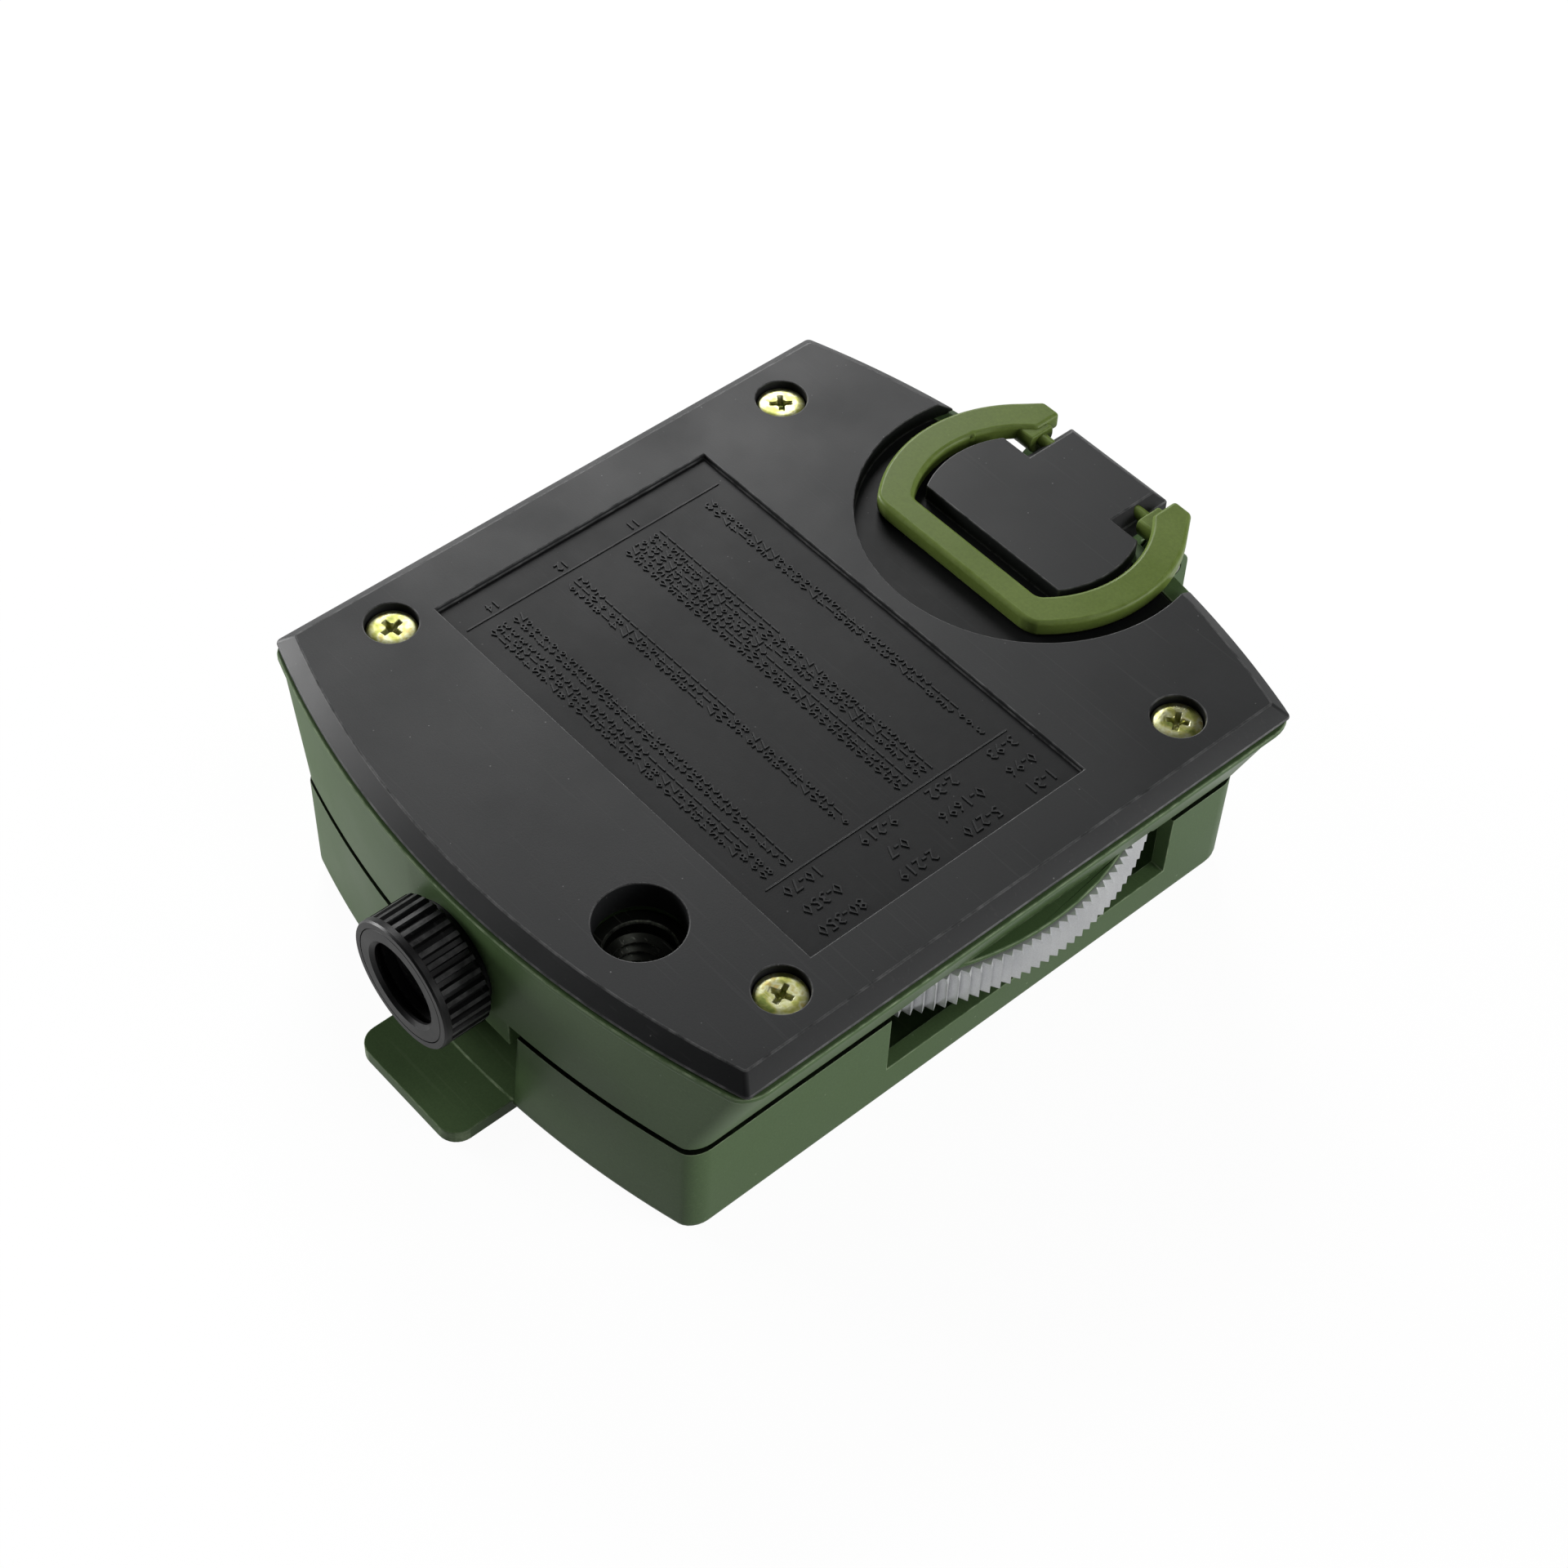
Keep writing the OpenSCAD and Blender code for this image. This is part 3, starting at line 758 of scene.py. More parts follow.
@dataclass(frozen=True)
class Finish:
    """A painted, moulded or plated surface with grain, mottling, flecks, scratches, rubbed edges and painted
    shade on marked faces.
    """

    name: str
    slot: str
    colour: Colour
    deeper: Colour
    worn: Colour
    metallic: float = 0.0
    roughness: float = 0.4
    rough_spread: float = 0.08
    specular: float = 0.5
    coat: float = 0.0
    coat_roughness: float = 0.1
    grain: float = 9000.0
    grain_height: float = 0.00001
    grain_strength: float = 0.3
    mottle: float = 60.0
    fleck: float = 900.0
    fleck_size: float = 0.1
    fleck_light: float = 0.3
    scratch_light: float = 0.1
    wear: float = 0.4

    def material(self) -> Material:
        """Returns the finish's material, made the first time it is asked for."""
        made = bpy.data.materials.get(self.name)
        if made:
            return made
        made = bpy.data.materials.new(self.name)
        made.use_nodes = True
        self.draw(NodeBoard(made.node_tree))
        return made

    def place(self, board: NodeBoard) -> NodeSocket:
        """Returns the coordinates that the patterns follow."""
        return board.add("ShaderNodeTexCoord").outputs["Object"]

    def shader(self, board: NodeBoard, links: dict[str, object]) -> Node:
        """Adds the Principled shader with its plain values and the material's output.

        Args:
            board: the material's nodes.
            links: the sockets and values that this finish sets.

        Returns:
            The shader's node.
        """
        plain: dict[str, object] = {
            "Metallic": self.metallic,
            "Specular IOR Level": self.specular,
            "Coat Weight": self.coat,
            "Coat Roughness": self.coat_roughness,
        }
        shader = board.add("ShaderNodeBsdfPrincipled", {**plain, **links})
        board.add("ShaderNodeOutputMaterial", {"Surface": shader.outputs[0]})
        return shader

    def draw(self, board: NodeBoard) -> None:
        """Draws the whole material."""
        place = self.place(board)
        sizes = {
            "Grain": self.grain,
            "Mottle": self.mottle,
            "Fleck": self.fleck,
            "Fleck size": self.fleck_size,
        }
        grain = board.add("ShaderNodeGroup", {"Place": place, **sizes}, node_tree=grain_effect())
        worn = {"Place": place, "Amount": self.wear}
        wear = board.add("ShaderNodeGroup", worn, node_tree=wear_and_shade_effect())
        lines = board.add("ShaderNodeGroup", {"Place": place}, node_tree=scratch_effect())
        colour = self.base(board, place, grain)
        fleck = board.sum("MULTIPLY", grain.outputs["Flecks"], self.fleck_light)
        colour = board.blend("MIX", fleck, colour, self.worn)
        scratch = board.sum("MULTIPLY", lines.outputs["Lines"], self.scratch_light)
        colour = board.blend("MIX", scratch, colour, self.worn)
        colour = board.blend("MIX", wear.outputs["Worn"], colour, self.worn)
        # Painted shade: marked faces go towards near-black.
        colour = board.blend("MIX", wear.outputs["Grime"], colour, PAINTED_SHADE_BLACK)
        spread = board.range(grain.outputs["Slow"], 0.3, 0.7, -self.rough_spread, self.rough_spread)
        rough = board.sum("ADD", spread, self.roughness)
        rough = board.sum("ADD", rough, board.sum("MULTIPLY", scratch, 0.5), clamp=True)
        relief = self.relief(board, place, grain)
        height = board.sum("SUBTRACT", relief, board.sum("MULTIPLY", scratch, 0.6))
        self.shader(
            board,
            {
                "Base Color": colour,
                "Roughness": rough,
                # Painted shade also fades the reflections on marked faces.
                "Specular IOR Level": board.range(
                    wear.outputs["Grime"], 0.0, 1.0, self.specular, 0.01
                ),
                "Normal": self.bump(board, height, self.grain_strength),
            },
        )

    def bump(self, board: NodeBoard, height: NodeSocket, strength: float) -> NodeSocket:
        """Returns the normal that the height gives."""
        values = {"Strength": strength, "Distance": self.grain_height, "Height": height}
        return board.add("ShaderNodeBump", values).outputs[0]

    def base(self, board: NodeBoard, place: NodeSocket, grain: Node) -> NodeSocket:
        """Returns the mottled colour before flecks, scratches and wear."""
        amount = board.range(grain.outputs["Slow"], 0.32, 0.68)
        tint = board.blend("MIX", amount, self.deeper, self.colour)
        fine = board.range(grain.outputs["Fine"], 0.3, 0.7, 0.90, 1.06)
        grey = board.add("ShaderNodeCombineColor", {"0": fine, "1": fine, "2": fine})
        return board.blend("MULTIPLY", 1.0, tint, grey.outputs[0])

    def relief(self, board: NodeBoard, place: NodeSocket, grain: Node) -> NodeSocket:
        """Returns the height that the bump follows."""
        return grain.outputs["Fine"]


@dataclass(frozen=True)
class TurnedFinish(Finish):
    """A surface that was turned on a lathe, with fine rings about an upright axis."""

    centre: tuple[float, float, float] = (0.0, 0.0062, 0.0)
    rings: float = 200.0

    def relief(self, board: NodeBoard, place: NodeSocket, grain: Node) -> NodeSocket:
        """Returns rings about the axis with the grain laid over them."""
        ends = {"0": place, "1": self.centre}
        about = board.add("ShaderNodeVectorMath", ends, operation="SUBTRACT")
        values = {"Vector": about.outputs[0], "Scale": self.rings, "Distortion": 0.4, "Detail": 2.0}
        wave = board.add("ShaderNodeTexWave", values, wave_type="RINGS", rings_direction="Z")
        turned = board.sum("MULTIPLY", wave.outputs["Fac"], 0.6)
        return board.sum("ADD", turned, grain.outputs["Fine"])


@dataclass(frozen=True)
class PlatedFinish(Finish):
    """Yellow zinc plating, whose colour drifts from straw to pink and green."""

    drift: float = 700.0

    def base(self, board: NodeBoard, place: NodeSocket, grain: Node) -> NodeSocket:
        """Returns the plating's drifting colours."""
        ramp = board.add("ShaderNodeValToRGB", {"Fac": board.noise(place, self.drift, 2.5, 0.6)})
        stops = ramp.color_ramp.elements
        stops[0].position, stops[0].color = 0.30, shade(120, 133, 66)
        stops[1].position, stops[1].color = 0.74, shade(194, 146, 126)
        for spot, tone in ((0.44, (168, 168, 94)), (0.56, (196, 198, 160)), (0.65, (172, 162, 94))):
            stops.new(spot).color = shade(*tone)
        return ramp.outputs["Color"]


@dataclass(frozen=True)
class ClearFinish(Finish):
    """Clear glass or plastic with faint smears."""

    def draw(self, board: NodeBoard) -> None:
        """Draws the glass."""
        place = self.place(board)
        smear = board.noise(place, 160.0, 4.0)
        rough = board.range(smear, 0.35, 0.75, 0.0, self.roughness)
        tint = board.blend("MIX", board.range(smear, 0.3, 0.7), self.deeper, self.colour)
        self.shader(
            board,
            {
                "Base Color": tint,
                "Roughness": rough,
                "Transmission Weight": 1.0,
                "IOR": 1.45,
                "Normal": self.bump(board, smear, 0.1),
            },
        )


GREEN = Finish(
    name="green_case_paint",
    slot="green_paint",
    colour=shade(79, 101, 65),
    deeper=shade(72, 94, 59),
    worn=shade(150, 166, 134),
    roughness=0.42,
    specular=0.17,
    grain=5200.0,
    grain_height=0.000012,
    grain_strength=0.22,
    mottle=45.0,
    fleck=700.0,
    fleck_size=0.08,
    fleck_light=0.35,
    scratch_light=0.05,
    wear=0.7,
)
RING_GREEN = Finish(
    name="carrying_ring_paint",
    slot="green_paint",
    colour=shade(102, 120, 56),
    deeper=shade(95, 113, 51),
    worn=shade(150, 168, 110),
    roughness=0.36,
    specular=0.14,
    grain=3200.0,
    grain_height=0.000018,
    grain_strength=0.25,
    mottle=110.0,
    fleck=600.0,
    fleck_size=0.06,
    fleck_light=0.25,
    scratch_light=0.04,
    wear=0.2,
)
BLACK = Finish(
    name="black_plate_paint",
    slot="black_paint",
    colour=shade(34, 35, 36),
    deeper=shade(27, 28, 29),
    worn=shade(122, 122, 122),
    roughness=0.47,
    rough_spread=0.07,
    specular=0.27,
    grain=7000.0,
    grain_height=0.000014,
    grain_strength=0.35,
    mottle=70.0,
    fleck=1000.0,
    fleck_size=0.075,
    fleck_light=0.6,
    scratch_light=0.03,
    wear=0.5,
)
RUBBED_BLACK = Finish(
    name="black_knob_plastic",
    slot="black_plastic",
    colour=shade(24, 24, 25),
    deeper=shade(18, 18, 19),
    worn=shade(112, 112, 112),
    specular=0.2,
    grain=6000.0,
    grain_height=0.000012,
    mottle=120.0,
)
INNER_BLACK = Finish(
    name="black_inner_plastic",
    slot="black_plastic",
    colour=shade(30, 30, 31),
    deeper=shade(24, 24, 25),
    worn=shade(70, 70, 70),
    roughness=0.55,
    grain=8000.0,
    wear=0.2,
)
ALUMINIUM = TurnedFinish(
    name="turned_aluminium",
    slot="ring_aluminium",
    colour=shade(226, 227, 228),
    deeper=shade(212, 213, 215),
    worn=shade(245, 245, 245),
    metallic=0.6,
    roughness=0.36,
    grain_height=0.000006,
    mottle=200.0,
    fleck_light=0.0,
    scratch_light=0.04,
)
ZINC = PlatedFinish(
    name="yellow_zinc_plate",
    slot="zinc_steel",
    colour=shade(228, 220, 160),
    deeper=shade(200, 196, 130),
    worn=shade(240, 236, 210),
    metallic=0.9,
    roughness=0.34,
    rough_spread=0.1,
    grain=5200.0,
    grain_height=0.00002,
    grain_strength=0.45,
    fleck_light=0.15,
    scratch_light=0.25,
    wear=0.3,
)
STEEL = Finish(
    name="ground_steel",
    slot="steel",
    colour=shade(168, 168, 166),
    deeper=shade(144, 144, 142),
    worn=shade(215, 215, 212),
    metallic=0.95,
    roughness=0.32,
    grain=5000.0,
    scratch_light=0.2,
)
BRASS = Finish(
    name="turned_brass",
    slot="brass",
    colour=shade(205, 172, 96),
    deeper=shade(184, 150, 78),
    worn=shade(232, 205, 140),
    metallic=0.95,
    roughness=0.28,
    scratch_light=0.15,
)
CARD = Finish(
    name="dial_card_plastic",
    slot="dial_plastic",
    colour=shade(226, 226, 214),
    deeper=shade(218, 217, 203),
    worn=shade(240, 240, 232),
    roughness=0.5,
    scratch_light=0.03,
)
PRINT = Finish(
    name="dial_print",
    slot="black_plastic",
    colour=shade(34, 34, 36),
    deeper=shade(28, 28, 30),
    worn=shade(60, 60, 60),
    roughness=0.55,
    fleck_light=0.1,
)
RED = Finish(
    name="pendulum_red",
    slot="pendulum_red",
    colour=shade(178, 44, 34),
    deeper=shade(158, 36, 28),
    worn=shade(205, 90, 80),
    roughness=0.42,
)
# The near-white worn colour on the thread's crests and the mouth's chamfer is partly rubbed steel and partly
# a painted highlight.
BLACKENED = Finish(
    name="blackened_steel",
    slot="steel",
    colour=shade(62, 64, 58),
    deeper=shade(44, 46, 42),
    worn=shade(236, 240, 226),
    metallic=0.85,
    roughness=0.3,
    grain=6000.0,
    wear=1.0,
)
JEWEL = Finish(
    name="jewel_red",
    slot="jewel",
    colour=shade(150, 22, 40),
    deeper=shade(120, 12, 28),
    worn=shade(190, 60, 80),
    roughness=0.12,
    coat=0.6,
)
RUBBER = Finish(
    name="seal_rubber",
    slot="rubber",
    colour=shade(30, 30, 31),
    deeper=shade(24, 24, 25),
    worn=shade(60, 60, 60),
    roughness=0.72,
    grain=4000.0,
    grain_strength=0.5,
)
GLASS = ClearFinish(
    name="clear_glass",
    slot="clear_glass",
    colour=shade(244, 250, 249),
    deeper=shade(238, 246, 245),
    worn=shade(255, 255, 255),
    roughness=0.012,
)


# --------------------------------------------------------------------------------------------------
# Sub-assemblies


@dataclass
class Shell:
    """The compass's outline, which the plate, the case and the lid share, in millimetres."""

    half: float = 32.5
    reach: float = 37.35
    bend: float = 99.6
    dial: tuple[float, float] = (0.0, 6.2)
    floor_top: float = 12.0
    case_low: float = 12.5
    seat: float = 24.4
    top: float = 26.1
    lens_z: float = 16.0
    hinge: tuple[float, float] = (41.2, 19.7)
    ring_pin: tuple[float, float] = (39.4, 25.25)

    def round_dial(self, profile: Sequence[tuple[float, float]], steps: int = 180) -> Solid:
        """Spins an outline of (radius, height) points about the dial's axis."""
        return Solid.spun(profile, Vector((*self.dial, 0.0)), UP, steps)

    def round_lens(self, profile: Sequence[tuple[float, float]], steps: int = 96) -> Solid:
        """Spins an outline of (radius, distance to the front) points about the lens's axis."""
        return Solid.spun(profile, Vector((0.0, 0.0, self.lens_z)), FORWARD, steps)


@dataclass
class BasePlate:
    """The black plate on top, with its table, screws and tripod socket."""

    shell: Shell
    bevel_in: float = 1.55
    bevel_down: float = 1.25
    table_low: tuple[float, float] = (-25.5, -19.2)
    table_high: tuple[float, float] = (25.7, 12.5)
    table_depth: float = 0.5
    screw: tuple[float, float] = (26.65, 23.25)
    head_seat: float = 24.05
    socket: tuple[float, float] = (13.9, -27.7)
    ring_centre: tuple[float, float] = (0.0, 31.1)
    digit: float = 0.98
    relief: float = 0.11

    def build(self) -> None:
        """Builds every piece of the plate."""
        self.plate()
        self.table()
        self.screws()
        self.insert()

    def plate(self) -> None:
        """Shapes the plate from its stacked outline and cuts its recesses."""
        s = self.shell
        plan = dict(half=s.half, front=s.reach, back=s.reach, corner=0.4)
        sunk = 0.015
        plate = Solid.stacked(
            [
                Level(z=s.seat, grow=-0.4, **plan),
                Level(z=s.seat + 0.2, grow=-0.4, **plan),
                Level(z=s.seat + 0.2, grow=0.0, **plan),
                Level(z=s.top - self.bevel_down, grow=0.0, **plan),
                Level(z=s.top, grow=-self.bevel_in, **plan),
            ],
            s.bend,
        )
        plate.cut(
            Solid.disc(16.65, self.ring_centre, s.seat - 1.0, s.top + 1.0, 144),
            Solid.block((*self.table_low, s.top - self.table_depth), (*self.table_high, s.top + 1.0)),
        )
        plug = Solid.stacked(
            [
                Level(z=s.seat - 2.4, grow=-2.0, **plan),
                Level(z=s.seat + sunk, grow=-2.0, **plan),
            ],
            s.bend,
        )
        island = Solid.disc(10.3, self.ring_centre, s.seat - 0.5, s.top + 0.5, 128)
        island.joined(Join.KEEP, Solid.block((-11.0, 25.9, s.seat - 1.0), (11.0, 36.1, s.top + 1.0)))
        tongue = Solid.block((-6.45, 30.0, s.seat - 2.3), (6.45, 42.85, s.top + 0.6))

        def on_brow(middle: Vector) -> bool:
            """Tells whether an edge is the tongue's upper end or side."""
            return middle.z > s.top + 0.5 and (middle.y > 42.0 or abs(middle.x) > 6.0)

        tongue.softened(1.65, 1, where=on_brow, mark=0.0)
        island.plus(tongue).trimmed(s.seat - 2.2, s.top)
        plate.plus(plug, island).trimmed(s.seat - 1.5, s.top + 0.5)
        cutters = [Solid.disc(4.1, self.socket, s.seat - 3.0, s.top + 1.0, 64)]
        for x in (-self.screw[0], self.screw[0]):
            for y in (-self.screw[1], self.screw[1]):
                cutters.append(Solid.disc(2.5, (x, y), self.head_seat, s.top + 1.0, 48))
                cutters.append(Solid.disc(1.4, (x, y), s.seat - 3.0, s.top, 32))
        plate.cut(*cutters).softened(0.13, 2, merge=0.015)
        plate.cut(*[Solid.crossing(0.7, s.ring_pin, side * 3.0, side * 9.0) for side in (-1, 1)])
        table_floor, ring_floor = s.top - self.table_depth, s.seat + 0.025
        # Painted shade: the table's recess floor and the floor of the carrying ring's recess are darkened,
        # standing in for the shade that falls into them.
        plate.marked(PAINTED_SHADE_LAYER, lambda middle: abs(middle.z - table_floor) < 0.01, 0.4)
        plate.marked(
            PAINTED_SHADE_LAYER, lambda middle: middle.y > 14.0 and abs(middle.z - ring_floor) < 0.075, 0.5
        )
        plate.placed("base_plate_top", BLACK, "case", ["base_plate"])

    def table(self) -> None:
        """Raises the table's rules and its generic numbers from the recess's floor."""
        floor_z = self.shell.top - self.table_depth
        rules = Solid.block((-21.98, -18.4, floor_z), (-21.82, 11.3, floor_z + 0.1))
        rules.along_with(Solid.block((17.72, -17.3, floor_z), (17.88, 10.8, floor_z + 0.1)))
        rules.softened(0.03, 1)
        rules.placed("table_rules", BLACK, "case")
        rows, first, last = 31, 15.9, -20.6
        step = (first - last) / (rows - 1)
        numbers = Solid(bmesh.new())
        for middle, factor, offset in (
            (8.9, 3, 3),
            (2.05, 53, 106),
            (-0.35, 5, 120),
            (-7.1, 7, 9),
            (-13.8, 2, 10),
            (-16.0, 9, 80),
        ):
            lines = "\n".join(str(factor * row + offset) for row in range(rows))
            numbers.along_with(self.words(lines, Vector((first, middle, floor_z)), step))
        for middle, feet in (
            (9.0, ("3-93", "0-96", "1-31")),
            (1.9, ("2-32", "0-1696", "5-270")),
            (-5.6, ("9-219", "0-7", "2-219")),
            (-14.2, ("10-70", "0-350", "80-350")),
        ):
            for reach, words in zip((18.4, 20.9, 23.4), feet):
                numbers.along_with(self.words(words, Vector((reach, middle, floor_z)), 1.5, 1.3))
        for middle, words in ((1.66, "11"), (-6.8, "12"), (-14.75, "14")):
            numbers.along_with(self.words(words, Vector((-23.3, middle, floor_z)), 1.3, 0.95))
        numbers.placed("table_numbers", BLACK, "case", smooth_below=20.0)

    def words(self, text: str, start: Vector, step: float, size: float = 0.0) -> Solid:
        """Sets lines of figures in relief, each line running along the plate.

        Args:
            text: the figures, one line for each number.
            start: the middle of the first line's foot.
            step: the distance from one line to the next.
            size: the height of a figure, or 0 for the table's own.

        Returns:
            The raised figures.
        """
        height = size or self.digit
        curve = bpy.data.curves.new("figures", "FONT")
        curve.body = text
        curve.size = height * 1.42
        curve.align_x = "CENTER"
        curve.space_line = step / (height * 1.42)
        curve.resolution_u = 1
        curve.extrude = self.relief / 2.0
        holder = linked("figures", curve)
        graph = bpy.context.evaluated_depsgraph_get()
        mesh = bpy.data.meshes.new_from_object(holder.evaluated_get(graph))
        bpy.data.objects.remove(holder)
        bpy.data.curves.remove(curve)
        bm = bmesh.new()
        bm.from_mesh(mesh)
        bpy.data.meshes.remove(mesh)
        turn = Matrix.Rotation(-math.pi / 2.0, 4, "Z")
        place = Matrix.Translation(start + UP * (self.relief / 2.0)) @ turn
        return Solid(bm).moved(place).tidied(0.001)

    def screws(self) -> None:
        """Makes the four cross-head screws, each turned its own way."""
        screws = Solid(bmesh.new())
        for x, y, turn in ((-1, -1, 0.12), (-1, 1, 0.95), (1, 1, 0.62), (1, -1, 0.40)):
            screw = Solid.spun(
                [
                    (0.0, 16.9),
                    (0.95, 16.9),
                    (1.25, 17.3),
                    (1.25, self.head_seat),
                    (2.2, self.head_seat),
                    (2.38, self.head_seat + 0.2),
                    (2.38, 25.14),
                    (2.3, 25.3),
                    (2.05, 25.4),
                    (1.4, 25.46),
                    (0.0, 25.46),
                ],
                Vector(),
                UP,
                64,
            )
            arms = []
            for angle in (0.0, math.pi / 2.0):
                arm = Solid.block((-1.24, -0.29, 24.74), (1.24, 0.29, 25.7))
                low = [vert for vert in arm.bm.verts if vert.co.z < 25.0]
                bmesh.ops.scale(arm.bm, vec=(0.62, 0.7, 1.0), verts=low)
                arms.append(arm.moved(Matrix.Rotation(angle, 4, "Z")))
            dimple = [(0.0, 24.55), (0.22, 24.66), (0.62, 25.7), (0.0, 25.7)]
            screw.cut(*arms, Solid.spun(dimple, Vector(), UP, 24))
            screw.softened(0.05, 1, 35.0, lambda middle: middle.z > 25.0)
            spot = Matrix.Translation((x * self.screw[0], y * self.screw[1], 0.0))
            screws.along_with(screw.moved(spot @ Matrix.Rotation(turn, 4, "Z")))
        screws.placed("cross_head_screws", ZINC, "case", ["base_screws"])

    def insert(self) -> None:
        """Makes the tripod socket with a real helical thread, 20 turns to the inch."""
        outer, inner, pitch, turns, steps = 3.2, 2.57, 1.27, 3, 48
        insert = Solid.spun(
            [
                (0.0, 15.9),
                (4.6, 15.9),
                (4.6, 21.85),
                (4.45, 22.0),
                (3.4, 22.0),
                (outer, 21.75),
                (outer, 16.4),
                (0.0, 16.4),
            ],
            Vector((*self.socket, 0.0)),
            UP,
            96,
        )
        thread = bmesh.new()
        foot = Vector((*self.socket, 16.9))
        ridge = [(outer + 0.03, -0.56), (inner, -0.08), (inner, 0.08), (outer + 0.03, 0.56)]
        verts = dotted(thread, (foot + ACROSS * radius + UP * height for radius, height in ridge))
        face = [thread.faces.new(verts)]
        ridge_items = face + list(thread.edges) + verts
        swept(thread, ridge_items, foot, UP, FULL_TURN * turns, steps * turns, pitch / steps)
        insert.along_with(Solid(thread).tidied())
        # Partly rubbed steel and partly a painted highlight: the crests and the mouth's chamfer take the
        # near-white worn colour.
        insert.marked(EDGE_LAYER, self._bright)
        insert.placed("tripod_thread", BLACKENED, "case", ["tripod_insert"], 40.0)

    def _bright(self, middle: Vector) -> bool:
        """Tells whether a face of the insert lies on the mouth's chamfer or on the thread's crest, which
        take a near-white colour that is partly rubbed steel and partly a painted highlight.
        """
        radius = math.hypot(middle.x - self.socket[0], middle.y - self.socket[1])
        return radius < 2.6 and middle.z > 16.6 or 3.0 < radius < 3.45 and middle.z > 21.7


@dataclass
class CarryingRing:
    """The D-shaped ring that folds into the plate's recess."""

    shell: Shell
    centre: tuple[float, float] = (0.0, 31.2)
    outer: float = 14.6
    inner: float = 11.2
    low: float = 24.6
    high: float = 26.45
    bar: tuple[float, float] = (20.75, 23.65)
    gap: float = 7.7
    end: float = 42.35

    def build(self) -> None:
        """Builds the ring with its pivots."""
        s = self.shell
        ring = Solid.disc(self.outer, self.centre, self.low, self.high, 120)
        half = [(11.0, 34.0), (11.65, 40.0), (9.88, self.end)]
        horns = [(-x, y) for x, y in half[1::-1]] + half + [(-half[2][0], half[2][1])]
        ring.plus(Solid.prism(horns, self.low - 0.3, self.high + 0.3)).trimmed(self.low, self.high)
        inside = Solid.disc(self.inner, self.centre, self.low - 1.0, self.high + 1.0, 120)
        inside.cut(Solid.block((-20.0, 0.0, 0.0), (20.0, self.bar[1], FAR)))
        ring.cut(
            inside,
            Solid.block((-20.0, 0.0, 0.0), (20.0, self.bar[0], FAR)),
            Solid.block((-self.gap, s.ring_pin[0] - 0.1, 0.0), (self.gap, 60.0, FAR)),
            Solid.block((-20.0, self.end, 0.0), (20.0, 60.0, FAR)),
        )
        ring.softened(1.3, 5, where=self._outer_corner).softened(0.5, 3, where=self._inner_corner)
        ring.softened(0.42, 5, 40.0)
        for side in (-1, 1):
            eye = Solid.crossing(1.6, s.ring_pin, side * 7.1, side * 9.6, 48)
            ring.along_with(eye.trimmed(self.low - 2.0, self.high - 0.3).softened(0.2, 3))
        for side in (-1, 1):
            ring.along_with(Solid.crossing(0.65, s.ring_pin, side * 5.25, side * 8.5))
        ring.placed("carrying_ring", RING_GREEN, "carrying_ring", ["d_ring"])

    def _outer_corner(self, middle: Vector) -> bool:
        """Tells whether an edge is an upright one where the straight bar meets the bow, outside."""
        upright = self.low + 0.4 < middle.z < self.high - 0.4
        return middle.y < 21.0 and abs(middle.x) > 9.0 and upright

    def _inner_corner(self, middle: Vector) -> bool:
        """Tells whether an edge is at the bar's inner end."""
        return abs(middle.y - self.bar[1]) < 0.1 and 8.0 < abs(middle.x) < 9.0


